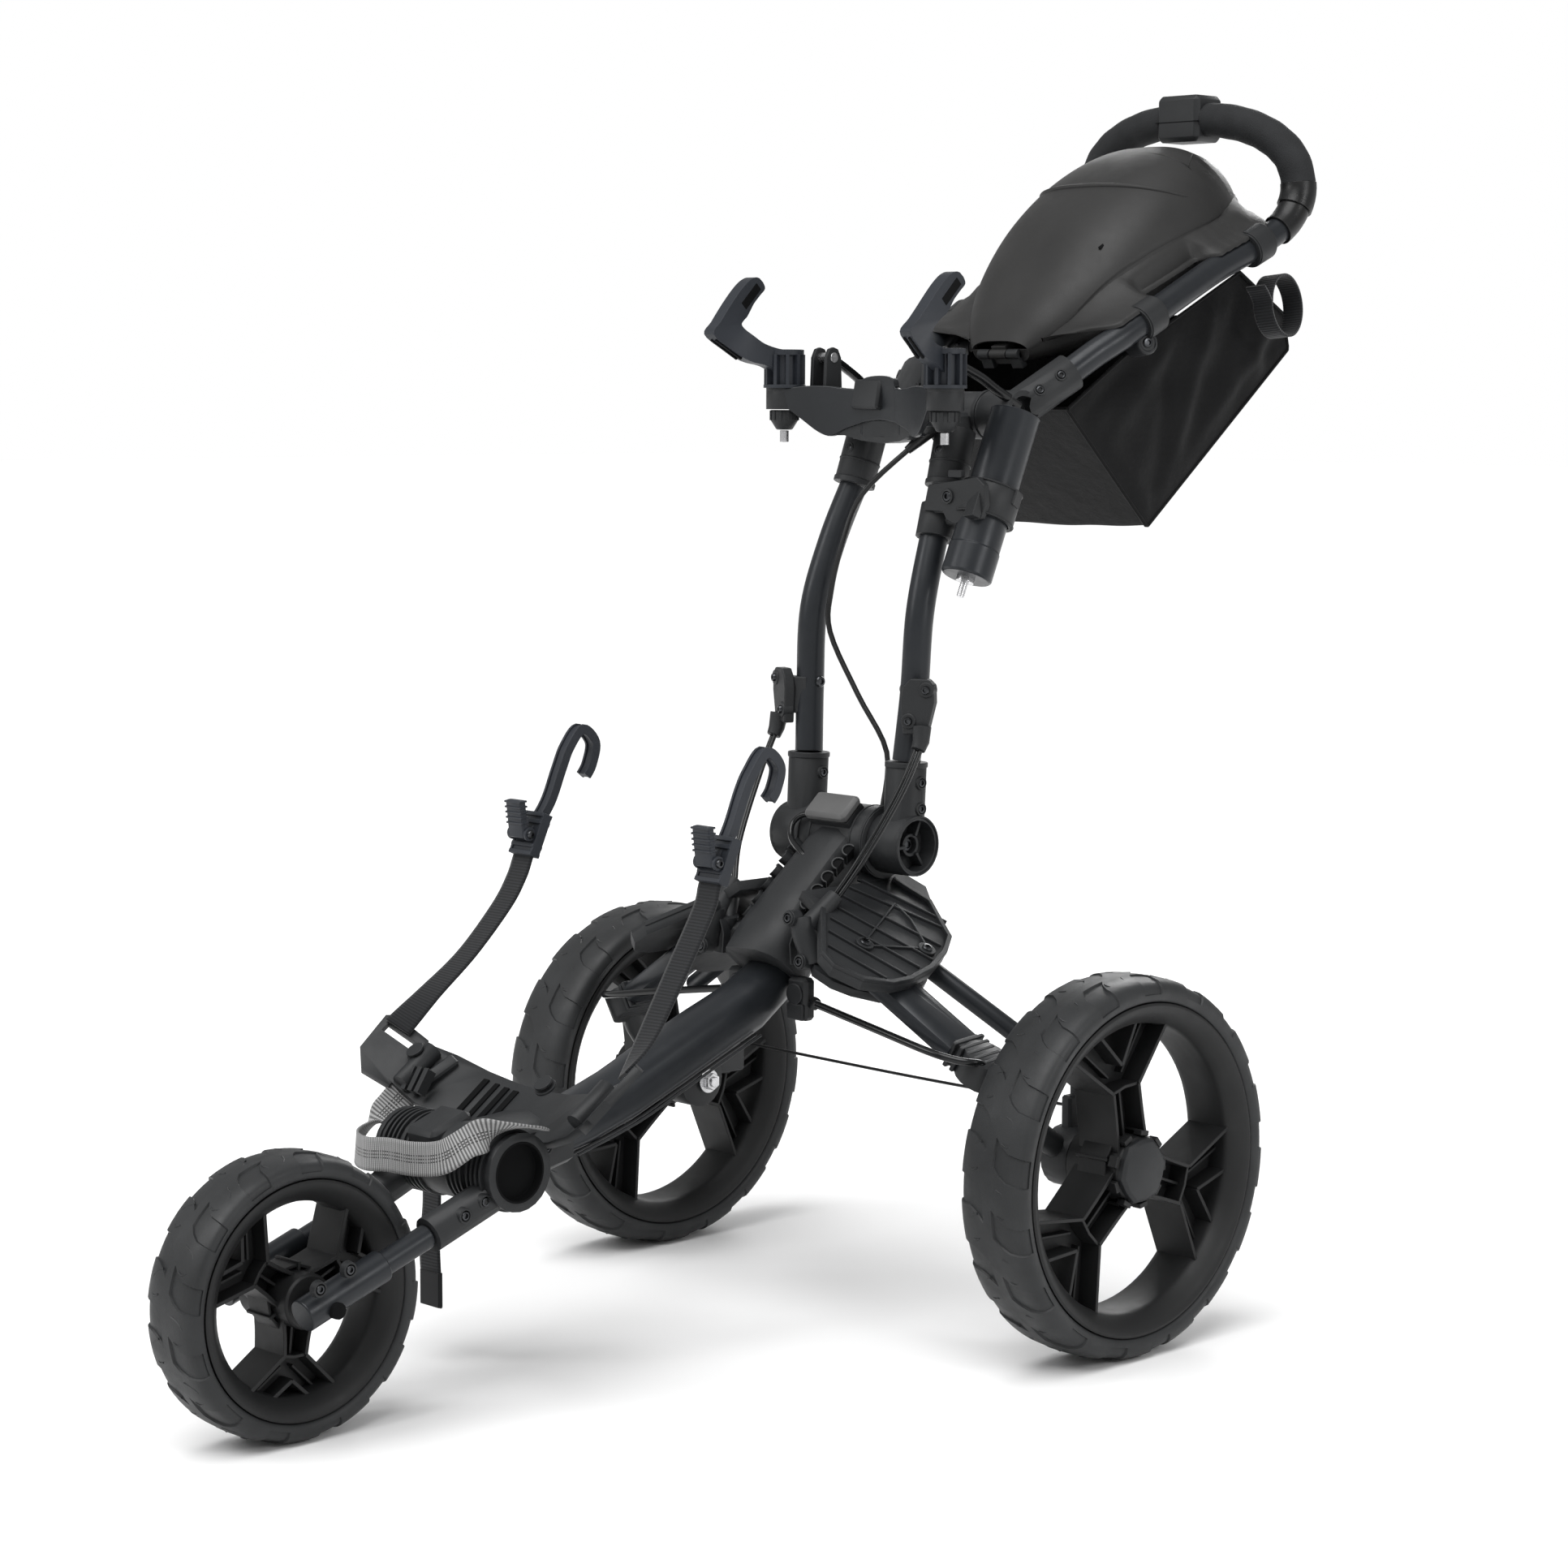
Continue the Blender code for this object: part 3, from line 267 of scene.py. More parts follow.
LOOK = {
    "plastic": moulded("moulded_charcoal", (0.015, 0.016, 0.0172), 0.5),
    "hook": moulded("moulded_slate", (0.019, 0.022, 0.028), 0.46),
    "lid": moulded("moulded_lid", (0.019, 0.0188, 0.0186), 0.5, 0.5),
    "rim": moulded("moulded_black", (0.0085, 0.0088, 0.0092), 0.52, 0.25),
    "button": moulded("moulded_grey", (0.095, 0.095, 0.095), 0.5),
    "gloss_plastic": moulded("moulded_satin", (0.015, 0.0165, 0.0185), 0.36, 0.2),
    "tube": painted("painted_tube", (0.017, 0.019, 0.022), 0.34, 0.2),
    "gloss": moulded("gloss_black", (0.008, 0.0085, 0.009), 0.18, 0.05),
    # dark: a near-black laid in slots, pockets and the barrel's open end as painted shade; the seam
    # line and the front axle use it as their own dark colour.
    "dark": moulded("painted_shade_and_dark_parts", (0.005, 0.0052, 0.0055), 0.7, 0.2, shine=0.06),
    "rubber": rubbery("tyre_rubber", (0.02, 0.021, 0.022), 0.5),
    "cable": rubbery("cable_sleeve", (0.008, 0.0082, 0.0085), 0.34),
    "steel": metal("bright_steel", (0.56, 0.56, 0.57), 0.27),
    "screw": metal("black_screw", (0.06, 0.062, 0.066), 0.3),
    "webbing": webbing(
        "grey_webbing", (0.17, 0.17, 0.17), (0.36, 0.36, 0.36), (-0.0024, 0.0, 0.0024),
    ),
    "strap": webbing("black_webbing", (0.0065, 0.0072, 0.0088), (0.009, 0.01, 0.012)),
    "fabric": nylon("bag_nylon", (0.0032, 0.0033, 0.0037)),
    "grip": foam("grip_foam", (0.015, 0.0158, 0.017)),
}


# ---------------------------------------------------------------- shapes
class Shape:
    """Gathers solids into one mesh."""

    def __init__(self, place=None):
        self.bm = bmesh.new()
        self.place = place or Matrix.Identity(4)

    def points(self, coords):
        return [self.bm.verts.new(self.place @ Vector(p)) for p in coords]

    def rings(self, rings, joined=False):
        """A skin over matching closed rings, with flat ends, or joined end to end."""
        rows = [self.points(ring) for ring in rings]
        count = len(rows[0])
        pairs = list(zip(rows, rows[1:]))
        if joined:
            pairs.append((rows[-1], rows[0]))
        for a, b in pairs:
            for i in range(count):
                j = (i + 1) % count
                self.bm.faces.new((a[i], a[j], b[j], b[i]))
        if not joined:
            self.bm.faces.new(rows[0][::-1])
            self.bm.faces.new(rows[-1])
        return self

    def box(self, centre, size, zdir=(0, 0, 1), xdir=ACROSS):
        m = facing(centre, zdir, xdir)
        x, y, z = (s / 2 for s in size)
        corners = ((-x, -y), (x, -y), (x, y), (-x, y))
        return self.rings([[m @ Vector((a, b, h)) for a, b in corners] for h in (-z, z)])

    def cylinder(self, start, end, radius, radius2=None, steps=32):
        start, end = Vector(start), Vector(end)
        m = facing(start, end - start)
        length = (end - start).length
        ends = ((radius, 0.0), (radius if radius2 is None else radius2, length))
        return self.rings([circle(m, r, h, steps) for r, h in ends])

    def turn(self, profile, m, steps=48, joined=False):
        """A (radius, height) outline turned about the matrix's Z."""
        return self.rings([circle(m, r, h, steps) for r, h in profile], joined)

    def tube(self, line, radius, steps=20):
        line = [Vector(p) for p in line]
        across = (line[1] - line[0]).orthogonal().normalized()
        rings = []
        for i, point in enumerate(line):
            along = course(line, i)
            across = (across - along * across.dot(along)).normalized()
            up = along.cross(across)
            r = radius(i / (len(line) - 1)) if callable(radius) else radius
            rings.append([point + (across * c + up * s) * r for c, s in unit_circle(steps)])
        return self.rings(rings)

    def plate(self, outline, thick, m):
        """A flat outline in the matrix's XY plane, thickened both ways."""
        ends = (-thick / 2, thick / 2)
        return self.rings([[m @ Vector((x, y, h)) for x, y in outline] for h in ends])

    def wall(self, line, thick, low, high, m):
        """An upright wall along a line in the matrix's XY plane, from low to high."""
        line = [Vector(p) for p in line]
        left, right = [], []
        for i, p in enumerate(line):
            along = course(line, i)
            side = Vector((-along.y, along.x)) * (thick / 2)
            left.append(p + side)
            right.append(p - side)
        outline = [tuple(p) for p in left + right[::-1]]
        middle = m @ Matrix.Translation((0, 0, (low + high) / 2))
        return self.plate(outline, high - low, middle)

    def mesh(self, name, mirror):
        if mirror:
            bmesh.ops.transform(self.bm, matrix=Matrix.Scale(-1, 4, ACROSS), verts=self.bm.verts)
        bmesh.ops.remove_doubles(self.bm, verts=self.bm.verts, dist=1e-6)
        bmesh.ops.recalc_face_normals(self.bm, faces=self.bm.faces)
        mesh = bpy.data.meshes.new(name)
        self.bm.to_mesh(mesh)
        self.bm.free()
        return mesh


def unit_circle(steps):
    turns = [2 * math.pi * i / steps for i in range(steps)]
    return [(math.cos(a), math.sin(a)) for a in turns]


def circle(m, radius, height, steps):
    return [m @ Vector((radius * c, radius * s, height)) for c, s in unit_circle(steps)]


def polar(radius, degrees):
    a = math.radians(degrees)
    return (radius * math.cos(a), radius * math.sin(a))


def curve_points(knots, per):
    """Points along a smooth curve through the knots."""
    knots = [Vector(k) for k in knots]
    line = []
    for i in range(len(knots) - 1):
        a, b, c = knots[max(i - 1, 0)], knots[i], knots[i + 1]
        d = knots[min(i + 2, len(knots) - 1)]
        for k in range(per):
            t = k / per
            square, cube = 2 * a - 5 * b + 4 * c - d, 3 * b - a - 3 * c + d
            line.append(0.5 * (2 * b + (c - a) * t + square * t * t + cube * t * t * t))
    line.append(knots[-1])
    return line


def path(knots, per):
    """The smooth curve through knots given as (x, y, z) from the rear axle line."""
    return curve_points([at(*knot) for knot in knots], per)


def flip(line):
    """The same points on the other side."""
    return [Vector((-p.x, p.y, p.z)) for p in line]


def course(line, i):
    """The direction of a line at its point i."""
    return (line[min(i + 1, len(line) - 1)] - line[max(i - 1, 0)]).normalized()


def shade(mesh, angle):
    for face in mesh.polygons:
        face.use_smooth = True
    mesh.set_sharp_from_angle(angle=math.radians(angle))


def soften(obj, width):
    """Rounds the hard edges, as a mould does."""
    if width <= 0:
        return
    step = obj.modifiers.new("edges", "BEVEL")
    step.width = width
    step.segments = 2
    step.limit_method = "ANGLE"
    step.angle_limit = math.radians(32)
    step.harden_normals = True


def piece(name, shape, look, body, slot, replaces=(), edge=0.0006, angle=35, mirror=False):
    """One visible piece, with its look, its softened edges and the body that it rides on."""
    mesh = shape.mesh(name, mirror) if isinstance(shape, Shape) else shape
    mesh.materials.clear()
    mesh.materials.append(LOOK[look])
    shade(mesh, angle)
    obj = bpy.data.objects.new(name, mesh)
    scene.collection.objects.link(obj)
    soften(obj, edge)
    if replaces:
        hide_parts(*replaces)
    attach(obj, body)
    return obj


def thicken(obj, thick):
    """Gives a surface its thickness, before its edges are softened."""
    step = obj.modifiers.new("wall", "SOLIDIFY")
    step.thickness = thick
    step.use_even_offset = True
    obj.modifiers.move(len(obj.modifiers) - 1, 0)


def ribbon(name, knots, widths, wide, thick, look, body, slot, node, per=8):
    """Flat tape through the knots; widths are the directions across it. UV is in metres."""
    line, across = curve_points(knots, per), curve_points(widths, per)
    bm = bmesh.new()
    uv = bm.loops.layers.uv.new("UVMap")
    place, rows, run = {}, [], 0.0
    for i, point in enumerate(line):
        along = course(line, i)
        side = (across[i] - along * across[i].dot(along)).normalized()
        run += (point - line[max(i - 1, 0)]).length
        row = [bm.verts.new(point + side * wide * (k / 8 - 0.5)) for k in range(9)]
        for k, vert in enumerate(row):
            place[vert] = (run, wide * (k / 8 - 0.5))
        rows.append(row)
    for a, b in zip(rows, rows[1:]):
        for k in range(8):
            face = bm.faces.new((a[k], a[k + 1], b[k + 1], b[k]))
            for loop in face.loops:
                loop[uv].uv = place[loop.vert]
    mesh = bpy.data.meshes.new(name)
    bm.to_mesh(mesh)
    bm.free()
    obj = piece(name, mesh, look, body, slot, (node,), edge=0, angle=60)
    thicken(obj, thick)
    obj.modifiers[0].offset = 0


def both(name, make, look, body, slot, replaces=(), **more):
    """The same piece on each side; {} in the names stands for left or right."""
    for side, sign in SIDES:
        nodes = [n.format(side) for n in replaces]
        name_here, body_here = name.format(side), body.format(side)
        piece(name_here, make(), look, body_here, slot, nodes, mirror=sign < 0, **more)


# ---------------------------------------------------------------- wheels
def wheel_place(x, y, z):
    return facing(at(x, y, z), ACROSS, (0, 1, 0))


def tyre(name, body, node, x, y, z, radius, width, seat, blocks):
    """A tyre with a step-edged block on each shoulder, the two shoulders half a block apart."""
    half = width / 2
    deep = radius - seat
    section = [
        (seat + 0.0006, -half + 0.0085, 0.0),
        (seat + 0.0002, -half + 0.0045, 0.0),
        (seat + 0.0014, -half + 0.0022, 0.0),
        (seat + 0.2 * deep, -half + 0.0006, 0.0),
        (seat + 0.36 * deep, -half + 0.0004, 0.0),
        (seat + 0.4 * deep, -half + 0.0003, 1.0),
        (seat + 0.6 * deep, -0.98 * half, 1.0),
        (seat + 0.78 * deep, -0.9 * half, 1.0),
        (seat + 0.9 * deep, -0.76 * half, 1.0),
        (seat + 0.97 * deep, -0.55 * half, 1.0),
        (seat + 1.0 * deep, -0.32 * half, 1.0),
        (seat + 1.0 * deep, -0.16 * half, 1.0),
        (seat + 1.0 * deep, -0.13 * half, 0.0),
    ]
    section += [(r, -h, k) for r, h, k in reversed(section)]
    cuts = (0.0, 0.014, 0.15, 0.3, 0.45, 0.6, 0.614, 0.74, 0.87)
    raised = (0, 1, 1, 1, 1, 1, 0, 0, 0)
    m = wheel_place(x, y, z)
    shape = Shape(m)
    rings = []
    for b in range(blocks):
        for u, up in zip(cuts, raised):
            ring = []
            for r, h, k in section:
                v = h / half
                slant = 0.25 * math.sin(math.pi / 2 * max(-1, min(1, v * 1.6)))
                lean = 0.1 * v
                a = 2 * math.pi * (b + u + slant + lean) / blocks
                lift = -0.0016 * (1 - up) * k
                rr = r + lift * min(1, (r - seat) / deep * 1.2)
                hh = h - math.copysign(0.0012, h) * (1 - up) * k * max(0, abs(v) - 0.8) / 0.2
                ring.append((rr * math.cos(a), rr * math.sin(a), hh))
            rings.append(ring)
    shape.rings(rings, joined=True)
    piece(name, shape, "rubber", body, "rubber", (node,), edge=0, angle=38)
    lines = Shape(m)
    for b in range(blocks):
        for sign in (1, -1):
            start = 2 * math.pi * (b + 0.3 + 0.25 * sign + 0.1 * sign * 0.6) / blocks
            lug_line(lines, start, sign, radius, half, blocks)
    piece(name + "_lugs", lines, "rubber", body, "rubber", edge=0.0, angle=60)


def lug_line(shape, angle, sign, radius, half, blocks):
    """The fine raised line that outlines a trapezoid on one tread block."""
    pitch = 2 * math.pi / blocks
    outline = [(-0.2, 0.3), (-0.1, 0.62), (0.1, 0.72), (0.2, 0.5), (0.17, 0.32)]
    line = []
    for u, v in outline:
        drop = 0.02 * radius * max(0.0, (v - 0.35) / 0.4) ** 2
        r = radius - 0.0002 - drop * 1.25
        a = angle + u * pitch
        line.append(Vector((r * math.cos(a), r * math.sin(a), sign * v * half)))
    shape.tube(curve_points(line, 3), 0.0007, 6)


def rim(name, body, node, x, y, z, seat, width, node_at, turn, spread, hub_r, out):
    """A dished ring with three forked spokes of ribbed channel section."""
    half = width / 2
    inside = seat - 0.0165
    m = wheel_place(x, y, z)
    shape = Shape(m)
    flat = Matrix.Identity(4)
    profile = [
        (seat - 0.0004, half - 0.0068),
        (seat + 0.0006, half - 0.0022),
        (seat - 0.0016, half - 0.0014),
        (seat - 0.005, half - 0.0022),
        (seat - 0.0085, half - 0.005),
        (inside + 0.001, half - 0.012),
        (inside - 0.0004, half - 0.017),
    ]
    shape.turn(profile + [(r, -h) for r, h in reversed(profile)], flat, 96, joined=True)
    tall = half * 0.62
    for k in range(3):
        a = turn + 120 * k
        arms = []
        for d in (-1, 1):
            near = Vector(polar(node_at, a + 13 * d))
            far = Vector(polar(inside + 0.003, a + (spread + 9) * d))
            near_in = Vector(polar(node_at + 0.017, a))
            far_in = Vector(polar(inside + 0.003, a + (spread - 8) * d))
            shape.wall([near, (near + far) / 2, far], 0.003, -tall, tall, flat)
            shape.wall(
                [near_in, (near_in + far_in) / 2, far_in], 0.003, -tall * 0.9, tall * 0.9, flat,
            )
            floor = [near, far, far_in, near_in]
            shape.plate([tuple(p) for p in (floor if d > 0 else floor[::-1])], 0.004, flat)
            shape.wall(
                [near.lerp(near_in, 0.5), far.lerp(far_in, 0.5)], 0.0022, -tall * 0.45, tall * 0.45,
                flat
            )
            arms.append((near, near_in))
        hub_side = []
        for d in (-1, 1):
            start = Vector(polar(hub_r - 0.002, a + 44 * d))
            waist = Vector(polar(hub_r + (node_at - hub_r) * 0.42, a + 21 * d))
            near = arms[0 if d < 0 else 1][0]
            shape.wall(curve_points([start, waist, near], 5), 0.003, -tall, tall, flat)
            hub_side.append([start, waist, near])
        low, high = hub_side
        floor = [*low, arms[0][1], *high[::-1]]
        shape.plate([tuple(p) for p in floor], 0.004, flat)
        cross = Vector(polar(node_at, a))
        shape.wall([arms[0][0], cross, arms[1][0]], 0.0026, -tall * 0.92, tall * 0.92, flat)
        shape.wall([Vector(polar(hub_r - 0.002, a)), cross], 0.0024, -tall * 0.6, tall * 0.6, flat)
        b = a + 60
        left = Vector(polar(hub_r + 0.004, b - 34))
        right = Vector(polar(hub_r + 0.004, b + 34))
        shape.wall(
            [left, Vector(polar(hub_r + 0.0035, b)), right], 0.0024, -tall * 0.7, tall * 0.7, flat,
        )
        shape.wall(
            [polar(hub_r - 0.001, b), polar(hub_r + 0.006, b)], 0.0024, -tall * 0.8, tall * 0.8,
            flat,
        )
    shape.turn(
        [(0.0, -0.029), (hub_r - 0.001, -0.029), (hub_r, -0.028), (hub_r, out - 0.002),
         (hub_r - 0.0015, out), (0.0, out)],
        flat, 48,
    )
    piece(name, shape, "rim", body, "rim", (node,))


def hub_cap(name, body, x, outward):
    """A blank bevelled hexagonal cap."""
    m = facing(at(x, 0, REAR_R), (outward, 0, 0), (0, 1, 0))
    shape = Shape(m)
    rings = []
    bevel = ((0.0262, 0.0), (0.0262, 0.0045), (0.0235, 0.0068), (0.012, 0.0088), (0.0, 0.0092))
    for radius, height in bevel:
        ring = []
        for i in range(12):
            a = 30 * i + 8
            r = radius * (1.0 if i % 2 == 0 else 0.93)
            ring.append((*polar(r, a), height))
        rings.append(ring)
    shape.rings(rings)
    piece(name, shape, "plastic", body, "plastic", edge=0.0008)
    collar = Shape(m)
    for i in range(9):
        a = 40 * i
        collar.box((*polar(0.0282, a), -0.002), (0.004, 0.009, 0.008), (0, 0, 1), (*polar(1, a), 0))
    piece(name + "_collar", collar, "rim", body, "rim")


# After its centre, tyre() takes the radius, width, radius of the bead seat and blocks on each
# shoulder, and rim() takes the seat, width, radius where the spokes fork, turn and spread of their
# arms in degrees, and the hub's radius and reach.
for side, sign in SIDES:
    wheel = "wheel_" + side
    tyre(
        f"{side}_tyre", wheel, f"rear_tyre_{side}", sign * REAR_X, 0, REAR_R, REAR_R, 0.063, 0.1285,
        17,
    )
    rim(
        f"{side}_rim", wheel, f"rear_rim_{side}", sign * REAR_X, 0, REAR_R, 0.1282, 0.063,
        0.066, 100, 19, 0.0255, 0.0235,
    )
    hub_cap(f"{side}_hub_cap", wheel, sign * (REAR_X + 0.0225), sign)
tyre(
    "front_tyre_tread", "front_wheel", "front_tyre", 0, FRONT_Y, FRONT_R, FRONT_R, 0.056, 0.0858,
    13,
)
rim(
    "front_spokes", "front_wheel", "front_rim", 0, FRONT_Y, FRONT_R, 0.0855, 0.056,
    0.041, 24, 21, 0.02, 0.028,
)


# ---------------------------------------------------------------- tubes and grips
HANDLE = [
    (0.0838, 0.1388, 0.7528), (0.092, 0.16, 0.768), (0.1, 0.185, 0.783), (0.105, 0.235, 0.81),
    (0.107, 0.292, 0.838), (0.109, 0.345, 0.86), (0.112, 0.38, 0.88), (0.113, 0.3955, 0.905),
    (0.1085, 0.394, 0.931), (0.093, 0.391, 0.949), (0.068, 0.3885, 0.962), (0.036, 0.3865, 0.9695),
    (0.0, 0.386, 0.971),
]
PER = 6
half_line = path(HANDLE, PER)
full_line = half_line + flip(half_line[-2::-1])
piece(
    "handle_loop", Shape().tube(full_line, TUBE_R, 32), "tube", "handle", "tube", ("handle_tube",),
    edge=0,
)


def grip():
    line = half_line[7 * PER : 11 * PER + 4]
    count = len(line) - 1

    def radius(t):
        end = min(t, 1 - t) * count
        return 0.0148 - 0.0012 * max(0.0, 1 - end / 1.2) + 0.0002 * math.sin(t * 40)

    return Shape().tube(line, radius, 32)


def grip_collars():
    shape = Shape()
    for first, last, r in ((7 * PER - 3, 7 * PER + 2, 0.0154), (7 * PER - 8, 7 * PER - 3, 0.0137)):
        shape.tube(half_line[first : last + 1], r, 32)
    return shape


both("grip_foam_{}", grip, "grip", "handle", "rubber", ("grip_{}",), edge=0)
both("grip_collar_{}", grip_collars, "cable", "handle", "rubber", edge=0.0005)

LEG_KNOTS = [
    (0.0549, -0.0206, 0.4444), (0.0585, -0.016, 0.5), (0.0594, -0.0114, 0.5607),
    (0.056, 0.006, 0.615), (0.0516, 0.0256, 0.6588),
]
leg_line = path(LEG_KNOTS, 8)
both(
    "upright_{}", lambda: Shape().tube(leg_line, TUBE_R, 32), "tube", "upper", "tube",
    ("leg_tube_{}",), edge=0,
)


def fork_tube():
    shape = Shape().cylinder(at(0.047, -0.5018, 0.1379), at(0.047, -0.5995, 0.1036), 0.009)
    return shape.cylinder(at(0.047, -0.543, 0.1234), at(0.047, -0.612, 0.0993), 0.012)


both("fork_leg_{}", fork_tube, "tube", "fork", "tube", ("fork_tube_{}",), edge=0.0012)


# ---------------------------------------------------------------- screws and studs
def screw(shape, point, out, radius):
    """A domed head with a socket sunk in it."""
    m = facing(Vector(point), out)
    profile = (
        (0.0, -0.0012), (radius, -0.0012), (radius, 0.0006), (radius * 0.84, 0.0015),
        (radius * 0.52, 0.0017),
    )
    shape.turn(profile + ((radius * 0.46, 0.0003), (0.0, 0.0003)), m, 24)


def boss(shape, point, out, radius):
    """A round collar that a screw sits in."""
    tall = 0.0016
    m = facing(Vector(point), out)
    shape.turn(
        ((radius * 1.12, -0.003), (radius, tall * 0.8), (radius * 0.92, tall),
         (radius * 0.74, tall), (radius * 0.7, -0.0002), (radius * 0.7, -0.003)),
        m, 28, joined=True,
    )


def screws(name, body, places, radius, ring=0.0, mirror=False):
    """Screws on one body, with collars if ring is a radius; a place is (point, outward)."""
    heads, collars = Shape(), Shape()
    for point, out in places:
        screw(heads, Vector(point) + Vector(out).normalized() * 0.0002, out, radius)
        if ring:
            boss(collars, point, out, ring)
    piece(name + "_heads", heads, "screw", body, "steel", edge=0, mirror=mirror)
    if ring:
        piece(name + "_collars", collars, "plastic", body, "plastic", edge=0, mirror=mirror)
    else:
        collars.bm.free()


def screws_both(name, body, places, radius, ring=0.0):
    for side, sign in SIDES:
        screws(name.format(side), body, places, radius, ring, sign < 0)


# ---------------------------------------------------------------- console
CONSOLE = at(0, 0.15, 0.77)
S_DIR = Vector((0, math.cos(SLOPE), math.sin(SLOPE)))
H_DIR = Vector((0, -math.sin(SLOPE), math.cos(SLOPE)))
# Distance up the slope, half width, lid height, tray depth, angle of the lid's edge above the rim.
STATIONS = [
    (-0.004, 0.03, 0.01, 0.01, 14), (0.018, 0.05, 0.026, 0.018, 19), (0.06, 0.074, 0.046, 0.03, 30),
    (0.11, 0.088, 0.065, 0.038, 26), (0.16, 0.092, 0.0755, 0.04, 19),
    (0.205, 0.087, 0.077, 0.038, 13), (0.24, 0.075, 0.07, 0.032, 13),
    (0.268, 0.056, 0.052, 0.024, 13), (0.284, 0.033, 0.026, 0.014, 13),
]
LID_CORNER = 0.215  # where the lid's side edge turns in
LID_END = 0.246  # where its middle ends
LIP = H_DIR * 0.0022  # how far the lid's rim turns down
LID_WALL, TRAY_WALL = 0.0018, 0.002  # their thicknesses


def stations(per):
    """The stations, smoothed in between."""
    low = curve_points([Vector((s, w, h)) for s, w, h, d, a in STATIONS], per)
    more = curve_points([Vector((s, d, a)) for s, w, h, d, a in STATIONS], per)
    return [(p.x, p.y, p.z, q.y, q.z) for p, q in zip(low, more)]


FINE = stations(10)


def dome(s, degrees, lift=0.0, sign=1):
    """A point on the lid (sign 1) or the tray (sign -1) at an angle round from the left rim."""
    near = min(range(len(FINE) - 1), key=lambda i: abs((FINE[i][0] + FINE[i + 1][0]) / 2 - s))
    low, high = FINE[near], FINE[near + 1]
    t = max(0.0, min(1.0, (s - low[0]) / (high[0] - low[0])))
    w, tall, deep = (low[i] + (high[i] - low[i]) * t for i in (1, 2, 3))
    tall = (tall if sign > 0 else deep) + lift
    a = math.radians(degrees)
    x = (w + lift) * math.copysign(abs(math.cos(a)) ** 0.75, math.cos(a))
    rise = 0.0003 + (tall - 0.0003) * max(0.0, math.sin(a)) ** 0.85
    return CONSOLE + S_DIR * s + Vector((x, 0, 0)) + H_DIR * (sign * rise)


def lid_edge(s):
    if s > LID_END:
        return 90.0
    if s > LID_CORNER:
        return 50.0 + 10 * (s - LID_CORNER) / (LID_END - LID_CORNER)
    return min(FINE, key=lambda row: abs(row[0] - s))[4]


def sheet_mesh(name, rows):
    """A grid of points as a surface."""
    bm = bmesh.new()
    made = [[bm.verts.new(p) for p in row] for row in rows]
    for a, b in zip(made, made[1:]):
        for i in range(len(a) - 1):
            bm.faces.new((a[i], a[i + 1], b[i + 1], b[i]))
    bmesh.ops.remove_doubles(bm, verts=bm.verts, dist=1e-6)
    bmesh.ops.recalc_face_normals(bm, faces=bm.faces)
    mesh = bpy.data.meshes.new(name)
    bm.to_mesh(mesh)
    bm.free()
    return mesh


